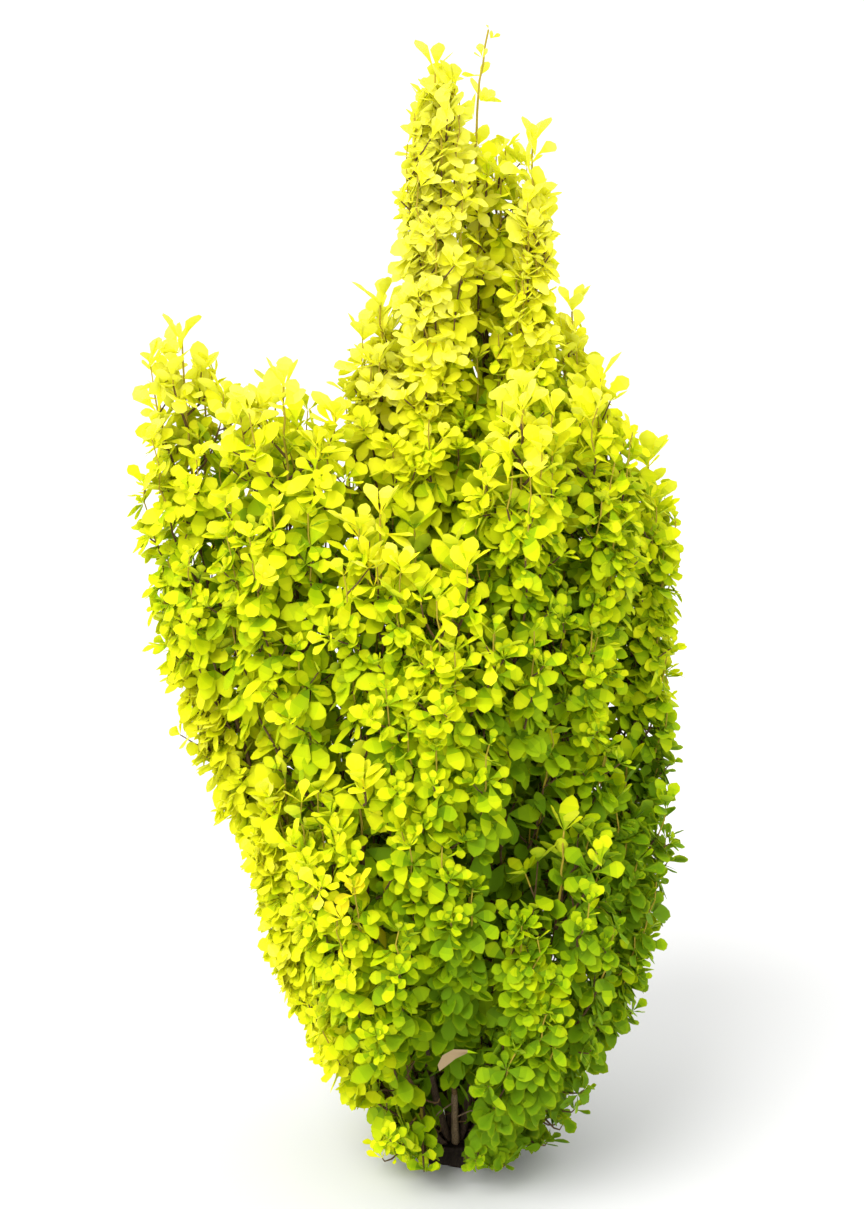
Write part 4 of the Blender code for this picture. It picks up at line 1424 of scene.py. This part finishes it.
class BARBERRY_OT_leaves(bpy.types.Operator):
    """Set the leaves of each mass in rosettes on its twigs"""

    bl_idname = "barberry.leaves"
    bl_label = "Leaves"

    def execute(self, context):
        settings = context.scene.barberry_leaves
        steps = context.scene.barberry_tints.steps
        finishes = leaf_materials(context.scene.barberry_tints, settings.glow)
        blades = leaf_shapes(settings)
        crown = Crown()
        for own, shoot in enumerate(SHOOTS):
            leaves = leaves_of(crown, own, grow_mass(crown, own), settings, steps)
            piece = Joined()
            for number, blade in enumerate(blades):
                chosen = leaves.shapes == number
                if not chosen.any():
                    continue
                axes = np.stack([leaves.side[chosen], leaves.along[chosen], leaves.over[chosen]], axis=1)
                points = np.einsum("pk,nkc->npc", blade.points, axes) * leaves.lengths[chosen, None, None]
                points += leaves.roots[chosen, None]
                starts = np.arange(chosen.sum())[:, None, None] * len(blade.points)
                triangles = (blade.triangles[None] + starts).reshape(-1, 3)
                piece.add(points.reshape(-1, 3), triangles, dealt_tints(leaves.tints[chosen], blade, steps))
            made = piece.build("leaves_" + shoot.name, finishes, SMOOTH_LEAF)
            finish_piece(made, ["foliage_" + shoot.name])
        return {"FINISHED"}


class BARBERRY_OT_dry_leaf(bpy.types.Operator):
    """Hang the one dry, curled leaf in front of the foot"""

    bl_idname = "barberry.dry_leaf"
    bl_label = "Dry leaf"

    def execute(self, context):
        settings = context.scene.barberry_leaves
        tints = context.scene.barberry_tints
        blade = model_blade(DROP_ROWS, settings)
        narrow = blade.points * np.array([DRY_LEAF_WIDTH, 1.0, 1.0])
        blade = bent(blade._replace(points=narrow), *DRY_LEAF_BENDS)
        along = unit(DRY_LEAF_WAY)
        over = unit(DRY_LEAF_UP - dot(DRY_LEAF_UP, along) * along)
        axes = np.stack([np.cross(along, over), along, over])
        x, y, z = blade.points.T
        turned = DRY_LEAF_CURL * y
        radius = 1 / DRY_LEAF_CURL + z
        rolled = np.stack([x, radius * np.sin(turned), radius * np.cos(turned) - 1 / DRY_LEAF_CURL], axis=1)
        points = DRY_LEAF_ROOT + DRY_LEAF_LENGTH * rolled @ axes
        names = (("dry_leaf", tints.dry), ("dry_leaf_root", tints.grass))
        finishes = [leaf_material(name, tuple(colour), 0) for name, colour in names]
        piece = Joined()
        piece.add(points, blade.triangles, (blade.zones == max(ZONES)).astype(int))
        made = piece.build("dry_leaf", finishes, SMOOTH_LEAF)
        finish_piece(made, ["foliage_front_middle"])
        return {"FINISHED"}


# The stage. The camera looks down by some degrees, and its lens is given in pixels of a frame of some height.
FLOOR_RADIUS = 40.0
FLOOR_BELOW = 0.0005
SUN_TURN = (math.radians(38), math.radians(-22), math.radians(-10))
SUN_SOFTNESS = math.radians(35)
CAMERA_PLACE = (-0.0207, -1.9, 0.95)
CAMERA_DOWN = 13.0
SENSOR_WIDTH = 36.0
FOCUS_PIXELS = 2254
FRAME_PIXELS = 1209


class BARBERRY_OT_stage(bpy.types.Operator):
    """Set the floor, the light and the camera"""

    bl_idname = "barberry.stage"
    bl_label = "Stage"

    def execute(self, context):
        settings = context.scene.barberry_stage
        deselect_all()
        bpy.ops.mesh.primitive_circle_add(
            vertices=96, radius=FLOOR_RADIUS, fill_type="NGON", location=(0, 0, -FLOOR_BELOW)
        )
        floor = context.object
        floor.name = "floor"
        bpy.ops.object.transform_apply(location=True)
        matt = {"Base Color": (*settings.floor, 1.0), "Roughness": 0.9, "Specular IOR Level": 0.1}
        floor.data.materials.append(new_material("pale_floor", matt)[0])
        world = bpy.data.worlds.new("pale_sky")
        world.use_nodes = True
        white = {"Color": (1.0, 1.0, 1.0, 1.0), "Strength": settings.sky}
        set_inputs(world.node_tree.nodes["Background"], white)
        context.scene.world = world
        bpy.ops.object.light_add(type="SUN", rotation=SUN_TURN)
        sun = context.object
        sun.name = "soft_sun"
        sun.data.energy = settings.sun
        sun.data.angle = SUN_SOFTNESS
        bpy.ops.object.camera_add(location=CAMERA_PLACE, rotation=(math.radians(90 - CAMERA_DOWN), 0, 0))
        camera = context.object
        camera.name = "view_from_the_front"
        camera.data.sensor_width = SENSOR_WIDTH
        camera.data.lens = SENSOR_WIDTH * FOCUS_PIXELS / FRAME_PIXELS
        camera.data.clip_end = 100.0
        context.scene.camera = camera
        context.scene.view_settings.view_transform = "Standard"
        return {"FINISHED"}


class BARBERRY_PT_panel(bpy.types.Panel):
    """Lists the steps that make the barberry"""

    bl_label = "Golden Barberry"
    bl_idname = "BARBERRY_PT_panel"
    bl_space_type = "VIEW_3D"
    bl_region_type = "UI"
    bl_category = "Barberry"

    def draw(self, context):
        for operator in OPERATORS:
            self.layout.operator(operator.bl_idname)


SETTINGS = {
    "barberry_leaves": BarberryLeafSettings,
    "barberry_tints": BarberryTintSettings,
    "barberry_bark": BarberryBarkSettings,
    "barberry_stage": BarberryStageSettings,
}
OPERATORS = (
    BARBERRY_OT_root_crown,
    BARBERRY_OT_stems,
    BARBERRY_OT_twigs,
    BARBERRY_OT_leaves,
    BARBERRY_OT_dry_leaf,
    BARBERRY_OT_stage,
)
CLASSES = (*SETTINGS.values(), *OPERATORS, BARBERRY_PT_panel)


def register():
    for made in CLASSES:
        bpy.utils.register_class(made)
    for name, group in SETTINGS.items():
        setattr(bpy.types.Scene, name, bpy.props.PointerProperty(type=group))


def unregister():
    for name in SETTINGS:
        delattr(bpy.types.Scene, name)
    for made in reversed(CLASSES):
        bpy.utils.unregister_class(made)


def main():
    register()
    bpy.ops.barberry.root_crown()
    bpy.ops.barberry.stems()
    bpy.ops.barberry.twigs()
    bpy.ops.barberry.leaves()
    bpy.ops.barberry.dry_leaf()
    bpy.ops.barberry.stage()


if __name__ == "__main__":
    main()
